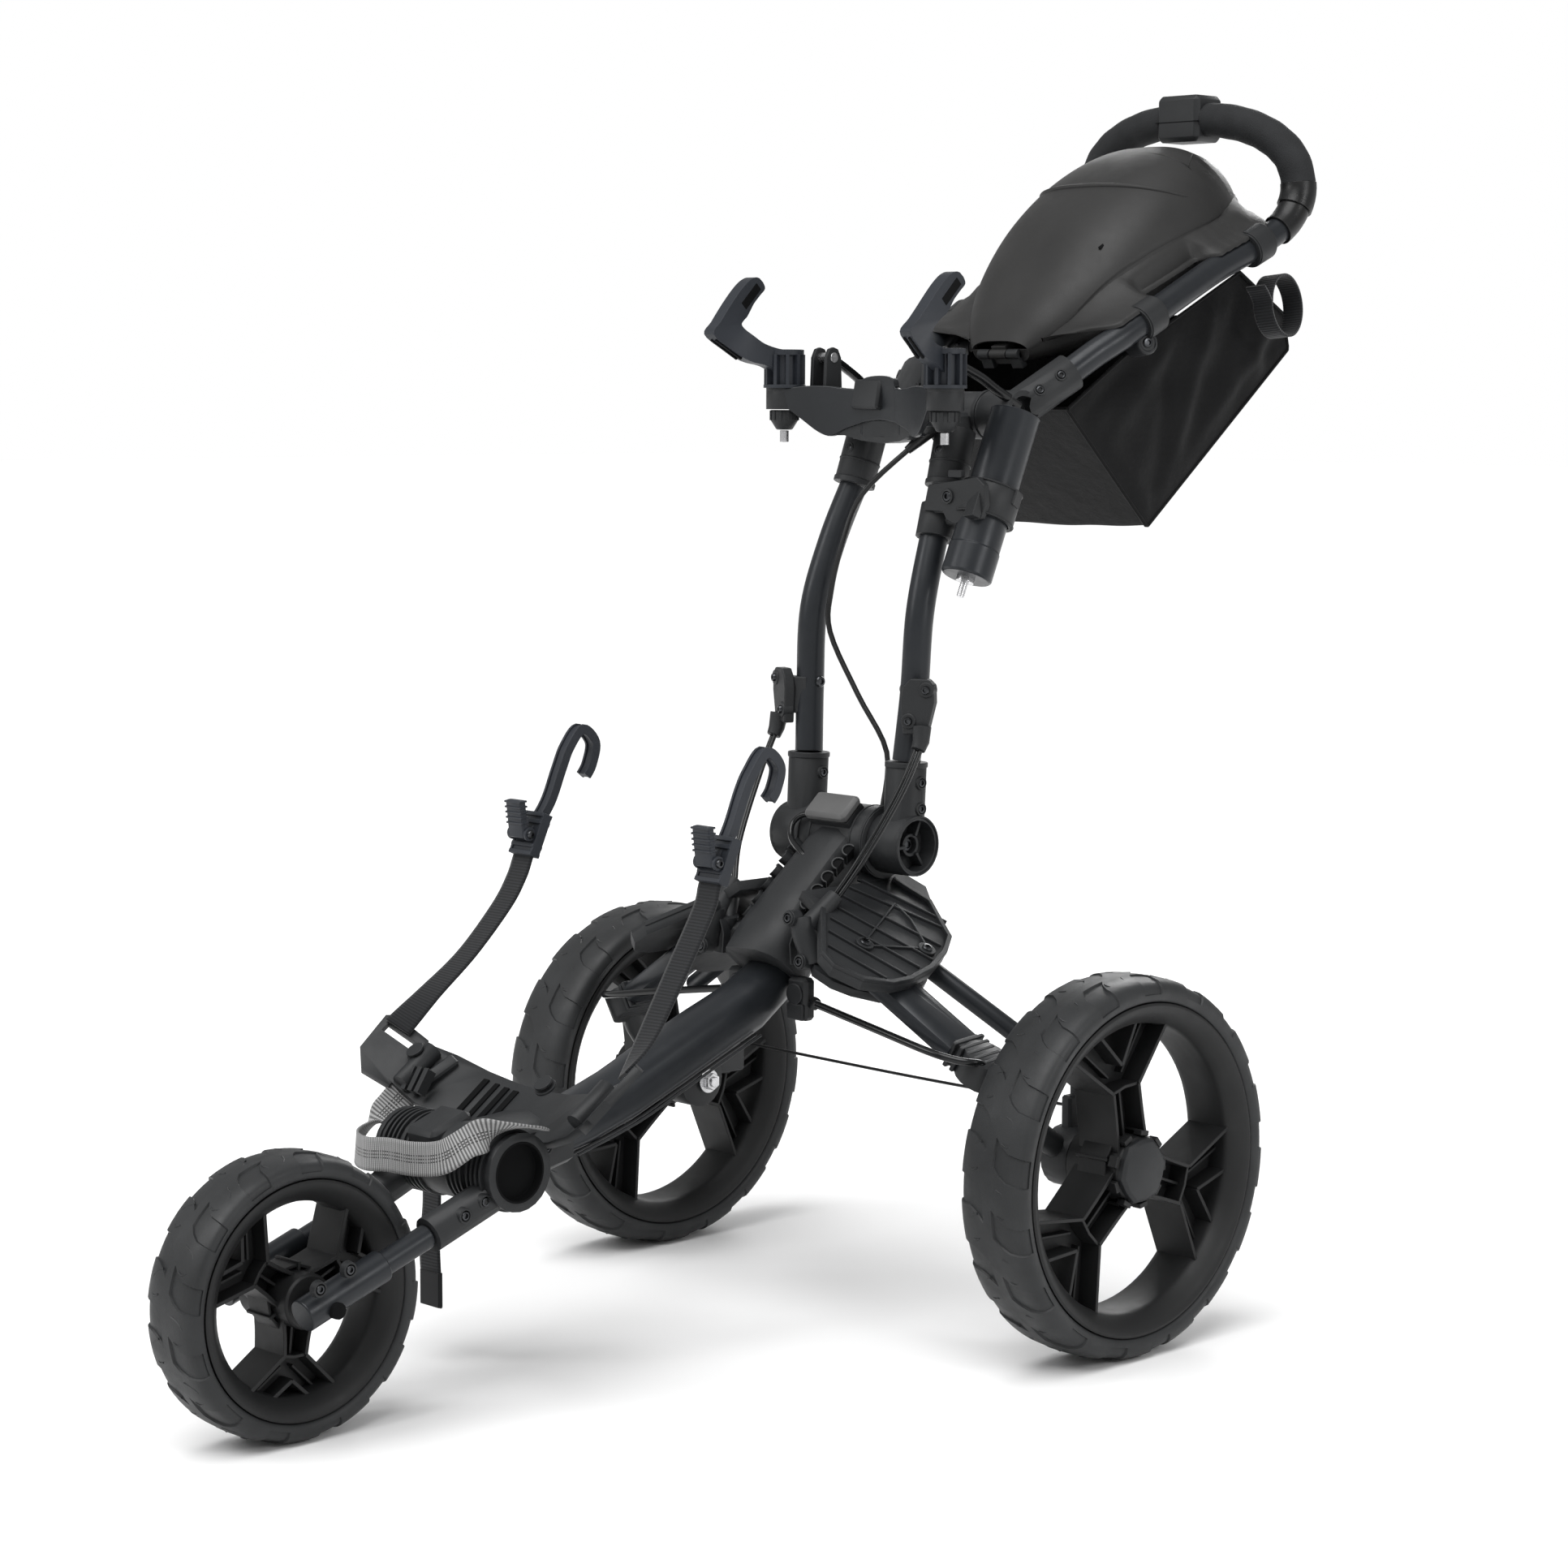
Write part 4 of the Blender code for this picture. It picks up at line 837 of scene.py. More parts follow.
def console():
    """The lid and the tray under it, with their rims, rib and hinge."""
    rows = []
    steps = [row[0] for row in FINE if row[0] < LID_CORNER - 0.001]
    steps += [LID_CORNER - 0.001, LID_CORNER + 0.0015]
    steps += [LID_CORNER + (LID_END - LID_CORNER) * k / 6 for k in range(1, 7)]
    for s in steps:
        edge = lid_edge(s)
        row = [dome(s, edge + (180 - 2 * edge) * k / 48, 0.0012) for k in range(49)]
        rows.append([row[0] - LIP] + row + [row[-1] - LIP])
    rows.append([p - LIP for p in rows[-1]])
    lid = piece(
        "lid_shell", sheet_mesh("lid_shell", rows), "lid", "lid", "lid", ("console_lid",),
        edge=0.0007, angle=50,
    )
    thicken(lid, LID_WALL)
    rows = []
    for s in [row[0] for row in FINE if row[0] < LID_CORNER - 0.002] + [
        LID_CORNER - 0.0022, LID_CORNER + 0.0003, 0.225, 0.235, LID_END - 0.0004, LID_END + 0.0008,
        0.254, 0.262, 0.269, 0.275, 0.28, 0.284,
    ]:
        edge = min(lid_edge(s + 0.0008), 90.0)
        top = (edge - 1.0) if edge < 90 else 90.0
        row = [dome(s, top * (1 - k / 14)) for k in range(14)]
        row += [dome(s, 180 * k / 30, 0.0, -1) for k in range(31)]
        row += [dome(s, 180 - top * k / 14) for k in range(1, 15)]
        rows.append(row)
    tray = piece(
        "tray_shell", sheet_mesh("tray_shell", rows), "lid", "handle", "plastic", ("console_tray",),
        edge=0.0007, angle=50
    )
    thicken(tray, TRAY_WALL)
    ends = Shape()
    for s in (FINE[0][0] + 0.001, FINE[-1][0] - 0.001):
        if s < 0:
            ring = [dome(s, a, 0, -1) for a in range(0, 181, 12)]
            ring += [dome(s, a) for a in (174, 168, 12, 6)]
        else:
            ring = [dome(s, a) for a in range(0, 181, 12)]
            ring += [dome(s, a, 0, -1) for a in range(168, 0, -12)]
        ends.rings([[p + S_DIR * d for p in ring] for d in (-0.001, 0.001)])
    for sign in (1, -1):
        line = []
        for s in steps[3:-9]:
            p = dome(s, lid_edge(s) - 3, -0.0035)
            line.append(Vector((sign * p.x, p.y, p.z)))
        ends.tube(line, 0.0016, 8)
    piece("tray_ends", ends, "lid", "handle", "plastic", edge=0.0004)
    arc = []
    for k in range(37):
        arc.append(dome(0.154 + 0.03 * (abs(k - 18) / 18) ** 2.2, 34 + 112 * k / 36, 0.0012))
    trim = Shape().tube(arc, lambda t: 0.0002 + 0.0018 * math.sin(math.pi * t) ** 0.4, 12)
    piece("lid_rib", trim, "lid", "lid", "lid", edge=0)
    # A dark box laid on the lid: painted shade of a slot.
    mark = Shape().box(
        dome(0.09, 54, 0.0012), (0.008, 0.0026, 0.0014), dome(0.09, 54, 0.01) - dome(0.09, 54),
        S_DIR,
    )
    piece("lid_slot_shade", mark, "dark", "lid", "lid", edge=0.0005)
    hinge = Shape()
    for side in (1, -1):
        p = CONSOLE - S_DIR * 0.006 + Vector((side * 0.016, 0, 0))
        hinge.cylinder(p - ACROSS * 0.006, p + ACROSS * 0.006, 0.0042)
        hinge.box(p - H_DIR * 0.006 + S_DIR * 0.002, (0.012, 0.006, 0.014), H_DIR, ACROSS)
    piece("tray_hinge", hinge, "plastic", "handle", "plastic")
    middle = CONSOLE - S_DIR * 0.006
    lugs = Shape().cylinder(middle - ACROSS * 0.009, middle + ACROSS * 0.009, 0.004)
    lugs.box(CONSOLE + H_DIR * 0.003 + S_DIR * 0.001, (0.016, 0.012, 0.007), H_DIR, ACROSS)
    piece("lid_hinge", lugs, "lid", "lid", "lid")


def ease(value, low, high):
    t = max(0.0, min(1.0, (value - low) / (high - low)))
    return t * t * (3 - 2 * t)


def tray_wing():
    """The skirt from the shell out over the handle tube, open over the tube's middle."""
    rings = []
    for k in range(75):
        s = 0.006 + 0.258 * k / 74
        tube_at = min(half_line[: 9 * PER], key=lambda p: abs((p - CONSOLE).dot(S_DIR) - s))
        tube_x, tube_h = tube_at.x, (tube_at - CONSOLE).dot(H_DIR)
        inner = dome(s, lid_edge(min(s, LID_CORNER)) * 0.9)
        rim = dome(s, 0)
        in_x, in_h = inner.x, (inner - CONSOLE).dot(H_DIR)
        reach = ease(s, 0.006, 0.03) * (1 - ease(s, 0.222, 0.262))
        gap = ease(s, 0.074, 0.084) * (1 - ease(s, 0.15, 0.164))
        wide = rim.x + (tube_x + 0.0075 - rim.x) * reach * (1 - 0.8 * gap)
        wide = max(wide, rim.x + 0.0012)
        low = tube_h + 0.0108 + 0.004 * (1 - reach)
        edge = min(low + 0.0035, in_h)
        mid_x = in_x + (wide - in_x) * 0.55
        mid_h = in_h + (edge - in_h) * (0.42 + 0.3 * (1 - gap))
        section = [
            (in_x - 0.002, in_h + 0.0004),
            (in_x + (mid_x - in_x) * 0.5, in_h + (mid_h - in_h) * 0.42), (mid_x, mid_h),
            (wide - 0.0035, edge), (wide - 0.0006, edge - 0.001), (wide, low),
            (wide - 0.0024, low - 0.0012 * gap), (mid_x - 0.0015, mid_h - 0.003),
            (in_x - 0.004, in_h - 0.004),
        ]
        rings.append([CONSOLE + S_DIR * s + Vector((x, 0, 0)) + H_DIR * h for x, h in section])
    return Shape().rings(rings)


def tray_clips():
    """Half shells that hold the handle tube."""
    shape = Shape()
    for first, last in ((2 * PER, 3 * PER), (int(4.5 * PER), int(5.5 * PER))):
        a, b = half_line[first], half_line[last]
        mid, along = (a + b) / 2, (b - a).normalized()
        for reach, r in ((0.0115, 0.0152), (0.01, 0.0161)):
            shape.cylinder(mid - along * reach, mid + along * reach, r, steps=36)
    return shape


console()
both("tray_wing_{}", tray_wing, "lid", "handle", "plastic", edge=0, angle=60)
both("tray_clips_{}", tray_clips, "plastic", "handle", "plastic", edge=0.0005)
clip_low = (half_line[2 * PER] + half_line[3 * PER]) / 2


def clip_knob():
    """The round pivot knob under the front clip."""
    centre = clip_low + Vector((0.006, -0.006, -0.02))
    shape = Shape().turn(
        ((0.0, -0.02), (0.01, -0.02), (0.01, 0.0), (0.009, 0.0016), (0.0075, 0.0022),
         (0.007, 0.0008), (0.0, 0.0008)),
        facing(centre, (1, -0.35, 0.1)), 32,
    )
    return shape.box(
        clip_low + Vector((-0.002, -0.003, -0.012)), (0.01, 0.02, 0.018), (0, 0, 1), ACROSS,
    )


both("clip_knob_{}", clip_knob, "plastic", "handle", "plastic", edge=0.0008)
centre = clip_low + Vector((0.0068, -0.0063, -0.0199))
screws_both("clip_screw_{}", "handle", [(centre, (1, -0.35, 0.1))], 0.0042)
seam = Shape().box(at(0, 0.387, 0.969), (0.0464, 0.0364, 0.0008))
piece("block_seam", seam, "dark", "handle", "plastic", edge=0)
out = Vector((0.8, -0.58, 0.35)).normalized()
places = [(at(*p) + out * 0.0152, out) for p in ((0.0705, 0.111, 0.7325), (0.0785, 0.1275, 0.7445))]
screws_both("sleeve_screws_{}", "handle", places, 0.0034, 0.005)


# ---------------------------------------------------------------- fabric bag
# y, z of the side panel: front lip, front foot, back foot, back lip, and two more on the top edge.
BAG = [
    (0.131, 0.7225), (0.234, 0.625), (0.42, 0.774), (0.413, 0.803), (0.35, 0.838), (0.205, 0.768),
]
BAG_HALF = 0.0885


def even_points(corners, count):
    """Points spaced evenly along a run of straight edges."""
    corners = [Vector(p) for p in corners]
    lengths = [(b - a).length for a, b in zip(corners, corners[1:])]
    line = []
    for i in range(count + 1):
        d = sum(lengths) * i / count
        k = 0
        while k < len(lengths) - 1 and d > lengths[k]:
            d -= lengths[k]
            k += 1
        line.append(corners[k].lerp(corners[k + 1], min(1.0, d / lengths[k])))
    return line


# Folds that the cloth hangs in: start, end, half width, height (out of the side).
FOLDS = [
    ((0.25, 0.64), (0.31, 0.8), 0.01, 0.0045), ((0.256, 0.655), (0.352, 0.812), 0.012, -0.004),
    ((0.262, 0.65), (0.392, 0.795), 0.013, 0.005), ((0.24, 0.65), (0.262, 0.775), 0.01, -0.0035),
    ((0.18, 0.7), (0.262, 0.78), 0.01, 0.004), ((0.15, 0.715), (0.215, 0.76), 0.008, -0.0035),
    ((0.3, 0.69), (0.405, 0.79), 0.009, -0.003), ((0.19, 0.69), (0.228, 0.64), 0.012, 0.003),
    ((0.33, 0.8), (0.375, 0.76), 0.01, 0.004), ((0.205, 0.74), (0.3, 0.745), 0.016, -0.003),
]


def fold_height(y, z, side):
    total = 0.0
    for i, (start, end, width, height) in enumerate(FOLDS):
        a, b = Vector(start), Vector(end)
        p = Vector((y, z)) + Vector((0.004, -0.003)) * (side * math.sin(3.1 * i))
        t = max(0.0, min(1.0, (p - a).dot(b - a) / (b - a).length_squared))
        gap = (p - a.lerp(b, t)).length
        depth = height * (0.35 + 0.65 * t) * (1.0 if side > 0 else 0.85)
        total += depth * math.exp(-((gap / width) ** 2))
    return total


def bag():
    around, across, deep = 120, 40, 36
    bottom, top = even_points(BAG[:4], around), even_points([BAG[0], *BAG[:2:-1]], around)
    bm = bmesh.new()
    uv = bm.loops.layers.uv.new("UVMap")
    place = {}

    def vert(x, y, z, u, v):
        made = bm.verts.new(at(x, y, z))
        place[made] = (u, v)
        return made

    panels = []
    for side in (1, -1):
        rows = []
        for i in range(around + 1):
            row = []
            for k in range(deep + 1):
                t = k / deep
                p = bottom[i].lerp(top[i], t)
                inside = math.sin(math.pi * min(1.0, t * 0.98 + 0.01))
                inside *= math.sin(math.pi * i / around)
                fade = min(1.0, 5 * t, 8 * i / around, 8 * (around - i) / around)
                x = BAG_HALF - 0.002 + 0.004 * inside + fold_height(p.x, p.y, side) * fade
                crease = noise.noise(Vector((p.x * 38, p.y * 38, side * 3.0)))
                x += 0.0016 * crease * min(1.0, 6 * t)
                row.append(vert(side * x, p.x, p.y, p.x, p.y))
            rows.append(row)
        panels.append(rows)
    band = []
    for i in range(around + 1):
        row = [panels[0][i][0]]
        p = bottom[i]
        for k in range(1, across):
            t = k / across
            x = (BAG_HALF - 0.002) * (1 - 2 * t)
            sag = 0.0045 * math.sin(math.pi * t) * math.sin(math.pi * i / around)
            ripple = 0.0022 * noise.noise(Vector((x * 22, p.x * 30, p.y * 30)))
            give = sag + ripple
            row.append(vert(x, p.x + give * 0.45, p.y - give * 0.6, x, i * 0.0055))
        row.append(panels[1][i][0])
        band.append(row)
    for rows in (*panels, band):
        for a, b in zip(rows, rows[1:]):
            for i in range(len(a) - 1):
                face = bm.faces.new((a[i], a[i + 1], b[i + 1], b[i]))
                for loop in face.loops:
                    loop[uv].uv = place[loop.vert]
    bmesh.ops.remove_doubles(bm, verts=bm.verts, dist=1e-5)
    bmesh.ops.recalc_face_normals(bm, faces=bm.faces)
    mesh = bpy.data.meshes.new("bag_cloth")
    area = sum(f.calc_area() for f in bm.faces)
    bm.to_mesh(mesh)
    bm.free()
    obj = piece("bag_cloth", mesh, "fabric", "handle", "fabric", ("storage_bag",), edge=0, angle=75)
    thicken(obj, 0.0009)
    seams = Shape()
    for side in (1, -1):
        seams.tube([at(side * (BAG_HALF - 0.0022), p.x, p.y) for p in bottom], 0.0016, 8)
        seams.tube([at(side * (BAG_HALF - 0.001), p.x, p.y) for p in top], 0.0016, 8)
    for p in (top[0], top[-1]):
        seams.tube([at(BAG_HALF * (1 - k / 6) - 0.001, p.x, p.y) for k in range(13)], 0.0015, 8)
    binding = piece("bag_seams", seams, "fabric", "handle", "fabric", edge=0)


bag()


# ---------------------------------------------------------------- hub
HUB = at(0, -0.0245, 0.378)
FAN_TOP = at(0.07, -0.083, 0.305) + LEG_NORMAL * 0.0195
FAN = facing(FAN_TOP, -LEG_NORMAL, (0, 1, 0))
FAN_EDGE = [
    (-0.036, -0.05), (-0.036, -0.026), (-0.078, 0.024), (-0.079, 0.04), (-0.064, 0.06),
    (-0.04, 0.069), (-0.018, 0.068), (0.014, 0.059), (0.043, 0.044), (0.063, 0.028), (0.071, 0.006),
    (0.08, -0.017), (0.066, -0.05),
]
FAN_RIBS = [
    [(0.031, -0.052), (0.074, 0.01)], [(0.012, -0.046), (0.066, 0.018)],
    [(-0.006, -0.042), (0.044, 0.036)], [(-0.024, -0.034), (0.022, 0.05)],
    [(-0.036, -0.014), (0.002, 0.056)], [(-0.05, 0.0), (-0.018, 0.062)],
    [(-0.064, 0.016), (-0.04, 0.062)], [(-0.024, 0.017), (0.04, -0.019)],
    [(0.041, -0.018), (0.04, 0.002), (0.03, 0.031)], [(-0.024, 0.024), (0.02, 0.035)],
]
FAN_SCREWS = [(-0.0288, 0.0208), (0.026, 0.0375)]


def fan_ribs():
    shape = Shape()
    for line in FAN_RIBS:
        shape.wall(line, 0.0018, -0.0024, 0.001, FAN)
    edge = [Vector(p) * 0.972 for p in FAN_EDGE[1:]]
    shape.wall(edge, 0.0042, -0.003, 0.001, FAN)
    for point in FAN_SCREWS:
        centre = FAN @ Vector((*point, 0.001))
        shape.cylinder(centre, centre + LEG_NORMAL * 0.004, 0.0074)
    return shape


def fan_web():
    """The flat web that joins the fan's upper edge to the barrel."""
    outline = [
        (0.03, -0.055), (0.045, -0.068), (0.085, -0.052), (0.0925, -0.036), (0.076, -0.006),
        (0.06, -0.028),
    ]
    return Shape().plate(outline, 0.0024, FAN @ Matrix.Translation((0, 0, 0.0012)))


both("fan_ribs_{}", fan_ribs, "plastic", "frame", "plastic")
both("fan_web_{}", fan_web, "plastic", "frame", "plastic")


def hub_teeth():
    """Arched hoods down the shoulder of the spine, each with a dark plate sunk under it as painted
    shade of its pocket.
    """
    hoods, pockets = Shape(), Shape()
    first, last = at(0.0312, -0.061, 0.3732), at(0.0272, -0.115, 0.3245)
    along = (last - first).normalized()
    for k in range(6):
        centre = first.lerp(last, k / 5)
        m = facing(centre, (0.5, -0.55, 0.62), along)
        arch = [Vector(polar(0.0052, 20 - 220 * i / 9)) for i in range(10)]
        hoods.wall(arch, 0.0016, -0.018, 0.0024, m)
        # A dark plate under each hood: painted shade of the pocket.
        sunk = m @ Matrix.Translation((0, 0, -0.007))
        pockets.plate([tuple(p * 0.86) for p in arch], 0.016, sunk)
    return hoods, pockets


both("spine_hoods_{}", lambda: hub_teeth()[0], "plastic", "frame", "plastic", edge=0.0005)
# Dark plates sunk in the hoods: painted shade of the pockets.
both("spine_pockets_{}", lambda: hub_teeth()[1], "dark", "frame", "plastic", edge=0)

spine_out = Vector((0, -0.694, 0.72))


def hub_trim():
    """The window and rails on top of the spine, the button's bezel and the barrel's rings."""
    shape = Shape()
    shape.box(at(0, -0.068, 0.3655), (0.025, 0.04, 0.003), spine_out, ACROSS)
    for x in (-0.015, 0.015):
        shape.box(at(x, -0.0745, 0.36), (0.002, 0.056, 0.005), spine_out, ACROSS)
    button_out = Vector((0, -0.667, 0.745))
    shape.box(HUB + button_out * 0.0285, (0.043, 0.023, 0.006), button_out, ACROSS)
    for sign in (1, -1):
        for x, r in ((0.0365, 0.0295), (0.024, 0.0291)):
            shape.cylinder(HUB + ACROSS * sign * x, HUB + ACROSS * sign * (x - 0.0022), r, steps=48)
    shape.turn(
        ((0.0052, -0.002), (0.0078, -0.002), (0.0078, 0.0022), (0.0066, 0.003), (0.0052, 0.0016)),
        facing(at(-0.003, -0.0712, 0.364), spine_out), 32, joined=True,
    )
    return shape


piece("hub_trim", hub_trim(), "plastic", "frame", "plastic")
RELEASE_WIRE = [
    (-0.018, -0.05, 0.3975), (-0.03, -0.0535, 0.396), (-0.035, -0.059, 0.389),
    (-0.029, -0.066, 0.379), (-0.015, -0.072, 0.372), (-0.004, -0.074, 0.366),
    (-0.0025, -0.072, 0.361),
]
piece(
    "release_wire", Shape().tube(path(RELEASE_WIRE, 6), 0.0024, 16), "gloss", "frame", "steel",
    edge=0,
)
screws("spine_screw", "frame", [(at(-0.009, -0.0958, 0.3402), spine_out)], 0.0036, 0.0056)
places = [(FAN @ Vector((*p, -0.003)), LEG_NORMAL) for p in FAN_SCREWS]
screws_both("fan_screws_{}", "frame", places, 0.0044)


def barrel_web():
    """Three webs and a boss round the hub bolt's head, inside the sleeve's open end."""
    m = facing(HUB, ACROSS, (0, 0, 1))
    shape = Shape()
    for a in (95, 215, 335):
        shape.wall([polar(0.008, a), polar(0.0212, a)], 0.0026, 0.0555, 0.0665, m)
    shape.turn(
        ((0.0066, 0.054), (0.0092, 0.054), (0.0092, 0.064), (0.0066, 0.064)), m, 32, joined=True,
    )
    shape.turn(
        ((0.0222, 0.069), (0.0246, 0.069), (0.0242, 0.0722), (0.0226, 0.0722)), m, 48, joined=True,
    )
    return shape


both("sleeve_web_{}", barrel_web, "plastic", "upper", "plastic", edge=0.0005)
screws_both("hub_bolt_{}", "upper", [(HUB + ACROSS * 0.059, ACROSS)], 0.0058)
places = []
for z in (0.428, 0.4072):
    for turn in (1, -1):
        places.append((at(0.0549 + turn * 0.0164, -0.0212, z), (turn, -0.05, 0)))
screws_both("sleeve_rivets_{}", "upper", places, 0.0036, 0.0052)


def sleeve_lip():
    return Shape().cylinder(at(0.0549, -0.0208, 0.4395), at(0.0549, -0.0207, 0.4437), 0.0172)


both("sleeve_lip_{}", sleeve_lip, "plastic", "upper", "plastic")


def stay_block():
    """The anchor that the stay wire's lower sleeve sits on."""
    push = Vector((0.003, -0.01, 0.006))
    line = [
        at(0.0458, -0.121, 0.3225), at(0.049, -0.1215, 0.312), at(0.054, -0.1195, 0.299),
        at(0.0552, -0.118, 0.289),
    ]
    line = [p + push for p in line]
    shape = Shape().tube(
        curve_points(line, 4), lambda t: 0.0088 + 0.0012 * math.sin(math.pi * t), 20,
    )
    shape.wall(
        [(-0.008, 0.013), (-0.0125, 0.002), (-0.011, -0.014)], 0.0016, -0.004, 0.004,
        facing(at(0.05, -0.129, 0.305), (0, -1, 0), ACROSS),
    )
    shape.cylinder(
        line[1] + Vector((0.0, 0.002, 0.002)), at(0.0575, -0.102, 0.344), 0.0086, 0.0068, 24,
    )
    for point in (line[0], line[3]):
        shape.cylinder(
            point + Vector((-0.002, -0.002, 0)), point + Vector((-0.0025, -0.0115, 0.001)), 0.0064,
            steps=28,
        )
    return shape


def lug_cup():
    shape = Shape()
    shape.cylinder(at(0.033, -0.118, 0.266), at(0.033, -0.1238, 0.266), 0.0088)
    shape.box(at(0.034, -0.12, 0.252), (0.018, 0.008, 0.013))
    return shape


both("stay_block_{}", stay_block, "plastic", "frame", "plastic")
both("lug_cup_{}", lug_cup, "plastic", "frame", "plastic", edge=0.0012)
places = [(at(0.0463, -0.1426, 0.3295), (0, -1, 0.1)), (at(0.0557, -0.1396, 0.296), (0, -1, 0.1))]
screws_both("stay_screws_{}", "frame", places, 0.0034, 0.0054)


# ---------------------------------------------------------------- stay wires and clips
STAY = [
    (0.0813, -0.0318, 0.4622), (0.08, -0.053, 0.425), (0.07, -0.085, 0.374), (0.056, -0.1035, 0.34),
]
stay_line = path(STAY, 8)


def lay_cord(name, line, radius, look, body, node, mirror=False):
    """A cable that springs clear between two fittings."""
    obj = piece(
        name, Shape().tube(line, radius, 16), look, body, "rubber", (node,), edge=0, angle=60,
        mirror=mirror,
    )
    if mirror:
        line = flip(line)


def stay_sleeve():
    a, b = stay_line[0], stay_line[2]
    return Shape().tube(
        [a + Vector((-0.001, 0.002, 0.012)), a, b], lambda t: 0.0075 - 0.0018 * t, 24,
    )


CLIP = facing(at(0.076, -0.029, 0.489), (0.4, -0.92, 0))
CLIP_SCREWS = ((0.014, -0.0075), (-0.011, 0.007))


def stay_clip():
    """A bracket on the outside of the leg that the wires' upper sleeve turns in."""
    outline = [
        (-0.022, 0.012), (-0.02, -0.008), (0.004, -0.014), (0.018, -0.0135), (0.0225, -0.0085),
        (0.0225, 0.006), (0.016, 0.012), (0.006, 0.014),
    ]
    shape = Shape().plate(outline, 0.009, CLIP)
    shape.box(at(0.065, -0.0235, 0.49), (0.022, 0.013, 0.03), (0, 0, 1), (1, -0.3, 0))
    for x, y in CLIP_SCREWS:
        m = CLIP @ Matrix.Translation((x, y, 0))
        shape.turn(((0.0, -0.004), (0.0068, -0.004), (0.0064, 0.0056), (0.0, 0.0056)), m, 28)
    return shape


for side, sign in SIDES:
    for mark, shift in (("a", 0.0022), ("b", -0.0022)):
        wire = [p + Vector((shift, shift * 0.4, 0)) for p in stay_line]
        lay_cord(
            f"stay_wire_{side}_{mark}", wire, 0.0018, "gloss", "frame", f"stay_cable_{side}",
            sign < 0,
        )
both("stay_sleeve_{}", stay_sleeve, "plastic", "upper", "plastic")
both("stay_bracket_{}", stay_clip, "plastic", "upper", "plastic", ("stay_clip_{}",), edge=0.0012)
places = [(CLIP @ Vector((*p, 0.0058)), (0.4, -0.92, 0)) for p in CLIP_SCREWS]
screws_both("stay_clip_screw_{}", "upper", places, 0.0034)
screws_both("leg_stud_{}", "upper", [(at(0.0472, -0.016, 0.501), (-1, -0.1, 0))], 0.0046)


# ---------------------------------------------------------------- cables
BRAKE = [
    (0.03, 0.01, 0.693), (0.002, -0.018, 0.655), (-0.026, -0.012, 0.615), (-0.038, -0.013, 0.575),
    (-0.036, -0.016, 0.542), (-0.006, -0.014, 0.493), (0.024, -0.011, 0.448),
    (0.03, -0.0222, 0.403),
]
LINK = [
    (-0.204, 0.041, 0.176), (-0.1, 0.041, 0.175), (0, 0.041, 0.1745), (0.1, 0.041, 0.175),
    (0.204, 0.041, 0.176),
]
lay_cord("brake_cord", path(BRAKE, 5), 0.0022, "cable", "upper", "brake_cable")
ferrule = [at(0.027, 0.0066, 0.689), at(0.033, 0.0135, 0.697), at(0.042, 0.024, 0.709)]
ferrule = Shape().tube(ferrule, lambda t: 0.0034 + 0.0026 * t, 20)
piece("brake_ferrule", ferrule, "cable", "upper", "rubber", edge=0.0004)
lay_cord("link_cord", path(LINK, 5), 0.0013, "cable", "frame", "link_cable")


# ---------------------------------------------------------------- upper saddle
def saddle_trim():
    shape = Shape()
    for x in (0.0405, -0.0405):
        shape.cylinder(at(x - 0.0018, 0.088, 0.717), at(x + 0.0018, 0.088, 0.717), 0.0206)
    return shape


def socket_ring():
    a, b = at(0.0515, 0.0262, 0.6603), at(0.0487, 0.04, 0.705)
    along = (b - a).normalized()
    shape = Shape().cylinder(a - along * 0.0005, a + along * 0.004, 0.0173)
    return shape.cylinder(a + along * 0.018, a + along * 0.02, 0.0171)


piece("saddle_trim", saddle_trim(), "plastic", "upper", "plastic")
BLADE = [  # x, lower edge, upper edge, right of the middle
    (0.0, 0.7131, 0.7485), (0.0165, 0.7112, 0.7462), (0.0205, 0.71, 0.7385),
    (0.035, 0.7052, 0.7385),
    (0.046, 0.6998, 0.74), (0.056, 0.703, 0.7404), (0.067, 0.712, 0.74), (0.076, 0.72, 0.7385),
    (0.083, 0.725, 0.7376),
]


def saddle_blade():
    """The dished plate that the bag's collar leans on, with a tab in its upper edge."""
    knots = [(-x, low, high) for x, low, high in BLADE[:0:-1]] + BLADE
    rings = []
    for x, low, high in curve_points(knots, 4):
        front = 0.0026 - 0.0345 * (x / 0.087) ** 2
        section = ((0.0, low), (-0.0016, high), (0.0044, high), (0.006, low))
        rings.append([at(x, front + y, z) for y, z in section])
    shape = Shape().rings(rings)
    for x in (-0.062, -0.042, -0.021, 0.0, 0.021, 0.042, 0.062):
        y = 0.012 - 0.0345 * (x / 0.087) ** 2
        shape.box(at(x, y, 0.708 + 0.008 * (abs(x) > 0.06)), (0.0024, 0.014, 0.015))
    return shape


piece("saddle_blade", saddle_blade(), "gloss_plastic", "upper", "plastic", edge=0.0012)
both("socket_ring_{}", socket_ring, "plastic", "upper", "plastic")
places = [(at(0.052, 0.017, 0.676), (0.1, -1, 0.25)), (at(0.05, 0.02, 0.69), (0.1, -1, 0.25))]
screws_both("socket_screws_{}", "upper", places, 0.0034, 0.0048)

PRONG = at(0.0895, -0.0165, 0)


def post(shape, low, high, radius):
    """A disc or post on the prong's pivot line."""
    return shape.cylinder(PRONG + Vector((0, 0, low)), PRONG + Vector((0, 0, high)), radius)


